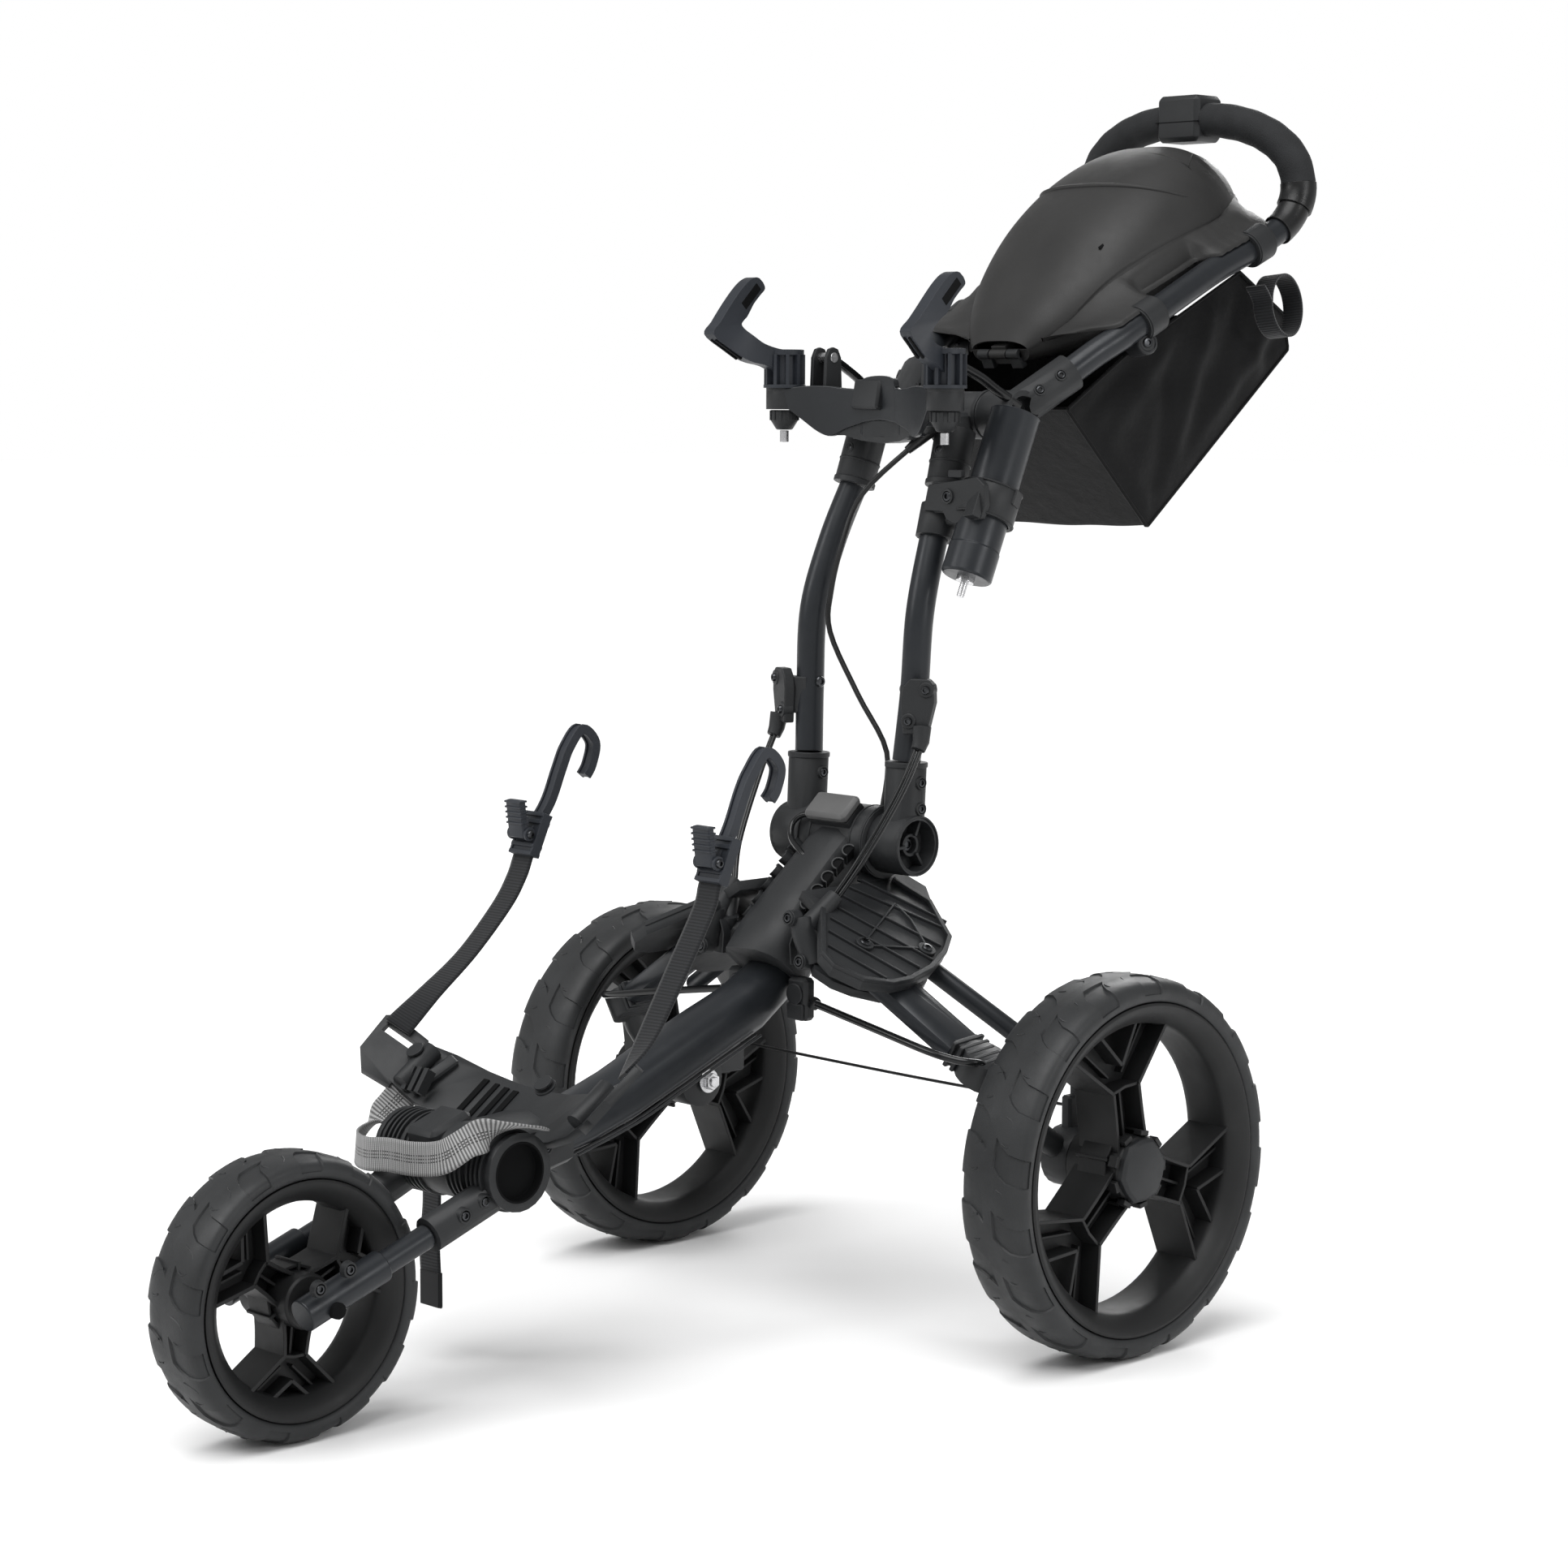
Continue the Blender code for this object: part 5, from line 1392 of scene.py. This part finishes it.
HOOK = [  # inner edge (y, z), outer edge (y, z) and x of the blade, from knuckle to tip
    ((-0.012, 0.769), (-0.012, 0.748), 0.09), ((-0.026, 0.77), (-0.025, 0.7505), 0.0912),
    ((-0.04, 0.774), (-0.036, 0.756), 0.094), ((-0.048, 0.7805), (-0.052, 0.76), 0.099),
    ((-0.0515, 0.7855), (-0.069, 0.77), 0.105), ((-0.0515, 0.7895), (-0.083, 0.7812), 0.109),
    ((-0.0478, 0.793), (-0.0745, 0.791), 0.11), ((-0.044, 0.7957), (-0.067, 0.7996), 0.1106),
    ((-0.04, 0.801), (-0.0585, 0.8092), 0.1108), ((-0.036, 0.8066), (-0.05, 0.818), 0.1108),
    ((-0.0295, 0.813), (-0.042, 0.8245), 0.1108), ((-0.0238, 0.8186), (-0.0345, 0.8276), 0.1108),
    ((-0.0262, 0.824), (-0.03, 0.827), 0.1108),
]


def prong_blade():
    """A smooth hooked blade that grows out of a finned knuckle."""
    inner = curve_points([at(x, *a) for a, b, x in HOOK], 4)
    outer = curve_points([at(x, *b) for a, b, x in HOOK], 4)
    rings = []
    for a, b in zip(inner, outer):
        half = ACROSS * 0.0058
        rings.append([a - half, a + half, b + half, b - half])
    shape = Shape().rings(rings)
    post(shape, 0.7384, 0.766, 0.0118)
    for low, high, r in ((0.7384, 0.7412, 0.0172), (0.765, 0.7695, 0.0158)):
        post(shape, low, high, r)
    for a in range(0, 360, 36):
        x, y = polar(0.0128, a)
        shape.box(PRONG + Vector((x, y, 0.753)), (0.008, 0.003, 0.025), (0, 0, 1), (x, y, 0))
    return shape


def prong_pin():
    """The bright ends of the pin that the knuckle turns on."""
    shape = post(Shape(), 0.765, 0.769, 0.0046)
    return post(shape, 0.6946, 0.704, 0.0036)


def prong_washers():
    shape = Shape()
    for low, high, r in ((0.7358, 0.7386, 0.015), (0.7215, 0.7365, 0.0132)):
        post(shape, low, high, r)
    return shape


def prong_pocket():
    """Dark plates on the blade as painted shade of a slot near the tip, and of two along the heel.
    """
    shape = Shape()
    for face in (0.1108 + 0.0057, 0.1108 - 0.0057):
        a, b = at(face, -0.0478, 0.804), at(face, -0.0312, 0.8206)
        shape.box((a + b) / 2, (0.0008, 0.0072, (b - a).length), b - a, ACROSS)
    for shift in (0.0026, -0.0026):
        a, b = at(0.101 + shift, -0.0565, 0.762), at(0.1075 + shift, -0.079, 0.7772)
        shape.box((a + b) / 2, (0.0022, 0.003, (b - a).length), b - a, ACROSS)
    return shape


both("prong_washers_{}", prong_washers, "plastic", "upper", "plastic", edge=0.0004)
both("prong_blade_{}", prong_blade, "hook", "prong_{}", "hook", ("bag_prong_{}",), edge=0.0012)
both("prong_pin_{}", prong_pin, "steel", "prong_{}", "steel", edge=0.0004)
# Painted shade of the blade's slots.
both("prong_pocket_{}", prong_pocket, "dark", "prong_{}", "hook", edge=0.0003)


def nut_ribs():
    shape = Shape()
    for a in range(0, 360, 30):
        x, y = polar(0.0112, a)
        shape.box(PRONG + Vector((x, y, 0.7162)), (0.0022, 0.0024, 0.008), (0, 0, 1), (x, y, 0))
    return shape


both("nut_ribs_{}", nut_ribs, "plastic", "nut_{}", "plastic", edge=0.0004)
BAIL = [
    (0.062, 0.0036, 0.763), (0.064, 0.018, 0.76), (0.066, 0.032, 0.754), (0.069, 0.048, 0.7465),
    (0.072, 0.061, 0.738), (0.074, 0.074, 0.731), (0.075, 0.085, 0.725),
]


def bail_ears():
    half = [(-0.034, -0.01), (0.0, -0.0085), (0.007, -0.005), (0.0085, 0.0)]
    outline = half + [(u, -v) for u, v in half[2::-1]]
    shape = Shape()
    for x in (0.0545, 0.0695):
        shape.plate(outline, 0.0035, facing(at(x, 0.0036, 0.763), ACROSS))
    return shape


def bail_pin():
    return Shape().cylinder(at(0.052, 0.0036, 0.763), at(0.0722, 0.0036, 0.763), 0.0042)


both("bail_{}", lambda: Shape().tube(path(BAIL, 6), 0.004, 16), "gloss", "upper", "steel", edge=0)
both("bail_ears_{}", bail_ears, "plastic", "upper", "plastic", edge=0.0008)
both("bail_pin_{}", bail_pin, "steel", "upper", "steel", edge=0.0004)


def latch_ribs():
    shape = Shape()
    for k in range(4):
        centre = at(0, 0.064 + 0.005 * k, 0.754 + 0.0016 * k)
        shape.box(centre, (0.011, 0.0018, 0.003), (0, -0.4, 1))
    return shape


piece("latch_ribs", latch_ribs(), "button", "latch", "button", edge=0.0005)


# ---------------------------------------------------------------- umbrella holder
TUBE_LOW, TUBE_HIGH = at(0.1, -0.0021, 0.5908), at(0.1, 0.054, 0.718)
CUP = (TUBE_HIGH - TUBE_LOW).normalized()
CUP_TALL = (TUBE_HIGH - TUBE_LOW).length
cup = Shape().turn(
    (
        (0.0, 0.0), (0.019, 0.0), (0.0205, 0.0016), (0.0205, 0.024), (0.0198, 0.025),
        (0.0198, CUP_TALL - 0.0016),
        (0.0204, CUP_TALL), (0.0182, CUP_TALL), (0.0176, CUP_TALL - 0.002), (0.0176, 0.012),
        (0.0, 0.012),
    ),
    facing(TUBE_LOW, CUP, ACROSS), 64,
)
piece("umbrella_cup", cup, "tube", "umbrella", "plastic", ("umbrella_tube",), edge=0.0005)


def umbrella_stud():
    shape = Shape().cylinder(TUBE_LOW + CUP * 0.001, TUBE_LOW - CUP * 0.0035, 0.0072)
    for k in range(9):
        shape.cylinder(
            TUBE_LOW - CUP * (0.0035 + 0.0014 * k), TUBE_LOW - CUP * (0.0043 + 0.0014 * k), 0.0031,
        )
        shape.cylinder(
            TUBE_LOW - CUP * (0.0043 + 0.0014 * k), TUBE_LOW - CUP * (0.0049 + 0.0014 * k), 0.0026,
        )
    return shape


piece("umbrella_stud", umbrella_stud(), "steel", "umbrella", "steel", edge=0)


def clamp_trim():
    """Rings, jaw and arm of the clamp round the umbrella tube."""
    grip_mid = TUBE_LOW + CUP * 0.062
    shape = Shape()
    for h in (-0.014, 0.0122):
        shape.turn(
            ((0.0212, h), (0.0246, h), (0.0246, h + 0.0018), (0.0212, h + 0.0018)),
            facing(grip_mid, CUP), 48, joined=True,
        )
    shape.box(grip_mid + Vector((0.008, -0.024, 0)), (0.014, 0.008, 0.02), CUP, (1, -0.3, 0))
    shape.box(grip_mid + Vector((0.021, 0.008, 0.005)), (0.006, 0.012, 0.013), CUP, (1, 0.3, 0))
    outline = [
        (0.053, 0.6425), (0.0582, 0.6629), (0.094, 0.6674), (0.11, 0.67), (0.118, 0.664),
        (0.1195, 0.6477), (0.1146, 0.637), (0.086, 0.633), (0.078, 0.636), (0.074, 0.642),
    ]
    shape.plate(
        outline, 0.006,
        facing(at(0, 0.001, 0), (0, -1, 0)) @ Matrix.Rotation(math.radians(-90), 4, "Z"),
    )
    shape.box(at(0.068, 0.013, 0.653), (0.016, 0.022, 0.025))
    shape.box(at(0.086, 0.001, 0.672), (0.014, 0.005, 0.006))
    return shape


piece("clamp_trim", clamp_trim(), "plastic", "upper", "plastic", edge=0.0014)
screws("clamp_screw", "upper", [(at(0.08, -0.0022, 0.6541), (0, -1, 0))], 0.0042, 0.0058)


# ---------------------------------------------------------------- straps
STRAPS = {  # side: x, webbing, buckle, hook, cam lever
    "right": (
        -0.129,
        [(-0.389, 0.251), (-0.359, 0.273), (-0.32, 0.301), (-0.285, 0.335), (-0.27, 0.356),
         (-0.2635, 0.3705), (-0.258, 0.383)],
        (-0.2555, 0.3885),
        [(-0.256, 0.39), (-0.238, 0.412), (-0.226, 0.438), (-0.2175, 0.455), (-0.204, 0.4685),
         (-0.1905, 0.457), (-0.194, 0.44), (-0.2, 0.431)],
        (-0.269, 0.402),
    ),
    "left": (
        0.129,
        [(-0.389, 0.25), (-0.3665, 0.274), (-0.335, 0.322), (-0.31, 0.362), (-0.3045, 0.378),
         (-0.299, 0.391)],
        (-0.296, 0.3965),
        [(-0.296, 0.398), (-0.283, 0.42), (-0.272, 0.445), (-0.2635, 0.459), (-0.25, 0.4725),
         (-0.2365, 0.461), (-0.24, 0.445), (-0.246, 0.437)],
        (-0.3095, 0.408),
    ),
}


# The hook's flat bar and the rails of its groove: offset across, half width, half thickness.
HOOK_BARS = ((0, 0.005, 0.0026), (0.004, 0.0011, 0.004), (-0.004, 0.0011, 0.004))
CORNERS = ((1, 1), (-1, 1), (-1, -1), (1, -1))


def strap_hook(x, middle, bend):
    """A flat J bar with a rail along each side of its groove, and the buckle that it grows from."""
    shape = Shape()
    line = curve_points([at(x, *p) for p in bend], 6)
    rings = [[], [], []]
    for i, p in enumerate(line):
        along = course(line, i)
        up = ACROSS.cross(along).normalized()
        for ring, (shift, wide, tall) in zip(rings, HOOK_BARS):
            ring.append([p + ACROSS * (shift + u * wide) + up * v * tall for u, v in CORNERS])
    for ring in rings:
        shape.rings(ring)
    place = facing(at(x, *middle), (0, 0.45, 1), ACROSS)

    def bar(centre, wide, deep, tall, height=0.0):
        outline = [(centre + u * wide, v * deep) for u, v in ((-1, -1), (1, -1), (1, 1), (-1, 1))]
        shape.plate(outline, tall, place @ Matrix.Translation((0, 0, height)))

    bar(0.0, 0.0118, 0.0034, 0.036)
    for height in (-0.016, -0.0095, 0.01, 0.016):
        bar(0.0, 0.0132, 0.0052, 0.0034, height)
    for centre in (0.0122, -0.0122):
        bar(centre, 0.0012, 0.0046, 0.035)
    return shape


def cam_ribs(x, cam):
    """Finger ribs across the lever, and the collars round its pin."""
    place = facing(at(x, *cam), (0, -0.12, 1), ACROSS)
    shape = Shape()
    for k in range(5):
        shape.box(
            place @ Vector((0, 0, 0.0138 - 0.0042 * k)), (0.019, 0.0078, 0.0016), (0, -0.12, 1),
        )
    for side in (0.0098, -0.0098):
        pin = at(x + side, cam[0] + 0.004, cam[1] - 0.012)
        shape.cylinder(pin - ACROSS * 0.0014, pin + ACROSS * 0.0014, 0.0054, steps=24)
    return shape


for side, (x, web, middle, bend, cam) in STRAPS.items():
    lean = math.copysign(1.0, x)
    widths = [ACROSS] * len(web)
    widths[0] = Vector((0.81, -0.33 * lean, 0.48 * lean))
    widths[1] = Vector((0.95, 0, 0.22 * lean))
    knots = [at(x, y, z) for y, z in web]
    ribbon(
        f"strap_tape_{side}", knots, widths, 0.0225, 0.0018, "strap", f"strap_{side}", "fabric",
        f"strap_web_{side}",
    )
    piece(
        f"hook_bar_{side}", strap_hook(x, middle, bend), "hook", f"strap_{side}", "hook",
        (f"strap_hook_{side}",), edge=0.0005,
    )
    piece(f"cam_ribs_{side}", cam_ribs(x, cam), "hook", f"cam_{side}", "hook", edge=0.0005)
    pin = at(x + 0.0114, cam[0] + 0.004, cam[1] - 0.012)
    screws(f"cam_screw_{side}", f"cam_{side}", [(pin, ACROSS)], 0.0034)

PULL = [
    ((-0.101, -0.4, 0.211), (0.72, 0.69, 0.1)), ((-0.108, -0.412, 0.196), (0.7, 0.68, 0.2)),
    ((-0.112, -0.429, 0.181), (0.45, 0.5, 0.75)), ((-0.094, -0.456, 0.1745), (0, 0.12, 1)),
    ((-0.062, -0.4725, 0.176), (0, 0.05, 1)), ((-0.03, -0.4765, 0.1805), (0, 0.05, 1)),
    ((0.004, -0.4785, 0.183), (0, 0.05, 1)), ((0.036, -0.4785, 0.1895), (0, 0.25, 1)),
    ((0.052, -0.466, 0.202), (0.15, 0.7, 0.7)), ((0.06, -0.446, 0.208), (0.5, 0.8, 0.35)),
    ((0.063, -0.426, 0.208), (0.85, 0.5, 0.1)), ((0.06, -0.412, 0.2045), (1, 0.3, 0)),
]
ribbon(
    "pull_tape", [at(*p) for p, a in PULL], [Vector(a) for p, a in PULL], 0.025, 0.0017,
    "webbing", "frame", "webbing", "pull_strap",
)
tail = [at(-0.085, -0.393 - 0.0012 * math.sin(k * 1.1), 0.195 - 0.0153 * k) for k in range(11)]
ribbon(
    "tail_tape", tail, [Vector((1, 0.06 * math.sin(k), 0)) for k in range(11)], 0.022, 0.0016,
    "strap", "frame", "fabric", "strap_tail", 3,
)
hem = Shape().box(at(-0.085, -0.393, 0.056), (0.0224, 0.0044, 0.027))
piece("tail_hem", hem, "strap", "frame", "fabric")

LOOP = facing(at(0.116, 0.367, 0.8095), (1, 0.15, 0.1), (0, -1, 0.46))
turns = [LOOP @ Vector((*polar(0.0262 - 0.00003 * k, 20 + 12 * k), 0)) for k in range(31)]
tab = [LOOP @ Vector((0.04, 0.002, 0)), LOOP @ Vector((0.032, 0.0045, 0))]
axis = (LOOP.to_3x3() @ Vector((0, 0, 1))).normalized()
ribbon(
    "glove_tape", tab + turns, [axis] * len(tab + turns), 0.018, 0.0022, "strap", "handle",
    "fabric", "velcro_loop", 2,
)


def axle_bolt():
    centre = Vector(at(0.202, 0.005, 0.146))
    shape = Shape().cylinder(centre, centre - ACROSS * 0.002, 0.0105)
    shape.cylinder(centre - ACROSS * 0.002, centre - ACROSS * 0.0075, 0.0076, steps=6)
    return shape.cylinder(centre - ACROSS * 0.0075, centre - ACROSS * 0.0095, 0.0045)


both("axle_bolt_{}", axle_bolt, "steel", "carrier_{}", "steel")


# ---------------------------------------------------------------- leg ends and rods
LEG_END = at(0.2, -0.086, 0.2262)
LEG_DIR = (LEG_END - at(0.082, -0.1, 0.298)).normalized()


def leg_end():
    """The ribbed sleeve where the leg meets the wheel carrier."""
    shape = Shape()
    for k in range(5):
        centre = LEG_END + LEG_DIR * (0.0045 - 0.0065 * k)
        shape.box(centre, (0.0292 + 0.0018 * k, 0.0226, 0.0036), LEG_DIR, LEG_NORMAL.cross(LEG_DIR))
    shape.box(LEG_END - LEG_DIR * 0.01, (0.028, 0.0206, 0.03), LEG_DIR, LEG_NORMAL.cross(LEG_DIR))
    return shape


both("leg_end_{}", leg_end, "plastic", "leg_{}", "plastic", edge=0.001)
ROD = [
    (0.0498, -0.1175, 0.26), (0.12, -0.1205, 0.249), (0.175, -0.1205, 0.2395), (0.2, -0.114, 0.235),
    (0.2095, -0.103, 0.233), (0.209, -0.096, 0.231),
]


def rod_wire():
    shape = Shape().tube(path(ROD, 8), 0.003, 16)
    eye = at(*ROD[0])
    return shape.cylinder(eye - LEG_NORMAL * 0.0034, eye + LEG_NORMAL * 0.0034, 0.0044, steps=24)


both("rod_wire_{}", rod_wire, "gloss", "rod_{}", "steel", ("fold_rod_{}",), edge=0)


# ---------------------------------------------------------------- cradle
FORK = (-0.432, 0.176)


def cradle_trim():
    """Ribs on the barrel, the ringed bosses, and the stepped block behind the pull strap."""
    shape = Shape()
    for x in (0.0165, 0.022, 0.0275, 0.033):
        for sign in (1, -1):
            shape.cylinder(at(sign * x, *FORK), at(sign * (x + 0.0021), *FORK), 0.0302, steps=48)
    rail = ((-0.15, 0.2355), (-0.19, 0.22), (-0.235, 0.202), (-0.28, 0.1845), (-0.34, 0.1685))
    for x in (0.0185, 0.024):
        for side in (1, -1):
            shape.tube(path([(side * x, *p) for p in rail], 4), 0.0012, 8)
    up = Vector((0, -0.58, 0.81))
    for point in (at(-0.104, -0.389, 0.233), at(0.05, -0.393, 0.23)):
        for h in (0.0, 0.0042):
            shape.cylinder(point + up * h, point + up * (h + 0.002), 0.0085 - h * 0.3)
    for x in (-0.096, -0.088, -0.08):
        shape.box(at(x, -0.402, 0.217), (0.005, 0.009, 0.02), (0, 0.55, 0.83))
    return shape


# Dark boxes laid on the cradle as painted shade of its slots.
def cradle_slots():
    shape = Shape()
    rest = Vector((0, 0.81, 0.58)).normalized()
    for x in (-0.056, -0.046, -0.036, -0.026):
        bow = (x / 0.13) ** 2
        up = Vector((0.584 * -x / 0.065, -0.58, 0.81)).normalized()
        centre = at(x, -0.37 - 0.03 * bow, 0.197 + 0.038 * bow) + up * 0.0034
        shape.box(centre, (0.0062, 0.0014, 0.037), rest, ACROSS)
    return shape


def barrel_end():
    """A dark disc in the fork barrel's open end as painted shade of its inside, and its rolled lip,
    also dark.
    """
    m = facing(at(0, *FORK), ACROSS)
    return Shape().turn(
        ((0.0, 0.056), (0.0222, 0.056), (0.0226, 0.0668), (0.021, 0.0668), (0.0206, 0.059),
         (0.0, 0.059)),
        m, 48,
    )


def barrel_rings():
    shape = Shape()
    for x in (0.0405, 0.0455, 0.0505, 0.0555):
        shape.cylinder(at(x, *FORK), at(x + 0.002, *FORK), 0.0303, steps=48)
    return shape


both("barrel_rings_{}", barrel_rings, "plastic", "fork", "plastic", edge=0.0005)
# Painted shade inside the barrel's open end.
both("barrel_end_{}", barrel_end, "dark", "fork", "plastic", edge=0.0004)
places = [(-0.4602, 0.1581), (-0.4789, 0.151), (-0.5815, 0.1296), (-0.6074, 0.1203)]
screws_both("fork_screws_{}", "fork", [(at(0.0608, *p), ACROSS) for p in places], 0.0036, 0.0056)
screws_both("block_screw_{}", "frame", [(at(0.0335, -0.379, 0.1815), ACROSS)], 0.0036, 0.0054)
piece("cradle_trim", cradle_trim(), "plastic", "frame", "plastic")
# Painted shade of the cradle's slots.
piece("cradle_slots", cradle_slots(), "dark", "frame", "plastic", edge=0)


# ---------------------------------------------------------------- carried-over nodes
CARRIED = {  # width of the softened edges in each material slot
    "plastic": 0.001, "hook": 0.0011, "button": 0.0012, "lid": 0.0008, "tube": 0.0004,
    "steel": 0.0003, "rubber": 0.0008, "rim": 0.0006, "webbing": 0.0, "fabric": 0.0,
}
slots = {s["node"]: s["material_slot"] for s in frame["record"]["subparts"]}
for node, obj in frame["nodes"].items():
    if obj.hide_render:
        continue
    kind = slots[node]
    obj.data.materials.clear()
    obj.data.materials.append(LOOK["dark" if node == "front_axle" else kind])
    weld = obj.modifiers.new("weld", "WELD")
    weld.merge_threshold = 1e-5
    soften(obj, CARRIED[kind])
    shade(obj.data, 40)


# ---------------------------------------------------------------- studio
def studio():
    mesh = bpy.data.meshes.new("floor")
    size = 30.0
    mesh.from_pydata(
        [(-size, -size, 0), (size, -size, 0), (size, size, 0), (-size, size, 0)], [],
        [(0, 1, 2, 3)],
    )
    floor = bpy.data.objects.new("floor", mesh)
    scene.collection.objects.link(floor)
    mesh.materials.append(Surface("studio_floor", (0.9, 0.9, 0.9), 0.9, shine=0.0).material)
    world = bpy.data.worlds.new("studio")
    world.use_nodes = True
    tree = world.node_tree
    back = tree.nodes["Background"]
    back.inputs["Color"].default_value = (1, 1, 1, 1)
    back.inputs["Strength"].default_value = 0.42
    seen = tree.nodes.new("ShaderNodeBackground")
    seen.inputs["Color"].default_value = (1, 1, 1, 1)
    rays = tree.nodes.new("ShaderNodeLightPath")
    choose = tree.nodes.new("ShaderNodeMixShader")
    tree.links.new(rays.outputs["Is Camera Ray"], choose.inputs["Fac"])
    tree.links.new(back.outputs["Background"], choose.inputs[1])
    tree.links.new(seen.outputs["Background"], choose.inputs[2])
    tree.links.new(choose.outputs["Shader"], tree.nodes["World Output"].inputs["Surface"])
    scene.world = world
    light = bpy.data.lights.new("sun", "SUN")
    light.energy = 2.6
    light.angle = math.radians(50)
    lamp = bpy.data.objects.new("sun", light)
    scene.collection.objects.link(lamp)
    lamp.matrix_world = facing((0, 0, 4), (0.15, -0.45, 1.0))
    for name, place, energy, size in (
        ("key", (-1.6, -2.6, 2.2), 26, 1.2),
        ("side", (2.9, 0.4, 1.6), 20, 0.9),
        ("back", (-1.4, 2.6, 1.9), 34, 1.2),
    ):
        light = bpy.data.lights.new(name, "AREA")
        light.energy = energy
        light.size = size
        lamp = bpy.data.objects.new(name, light)
        scene.collection.objects.link(lamp)
        lamp.matrix_world = facing(place, Vector(place) - Vector((0, 0, 0.5)))


def camera():
    data = bpy.data.cameras.new("camera")
    data.sensor_width = 36.0
    data.lens = 80.96
    obj = bpy.data.objects.new("camera", data)
    scene.collection.objects.link(obj)
    a, e, roll = (math.radians(v) for v in (45.586, 6.312, 0.253))  # heading, dip and roll
    forward = Vector((-math.sin(a) * math.cos(e), math.cos(a) * math.cos(e), -math.sin(e)))
    right = Vector((math.cos(a), math.sin(a), 0))
    up = right.cross(forward)
    x = right * math.cos(roll) + up * math.sin(roll)
    y = up * math.cos(roll) - right * math.sin(roll)
    turn = Matrix((x, y, -forward)).transposed().to_4x4()
    obj.matrix_world = Matrix.Translation((1.9771, -1.903, 0.7336)) @ turn
    scene.camera = obj


studio()
camera()
scene.view_settings.view_transform = "Standard"
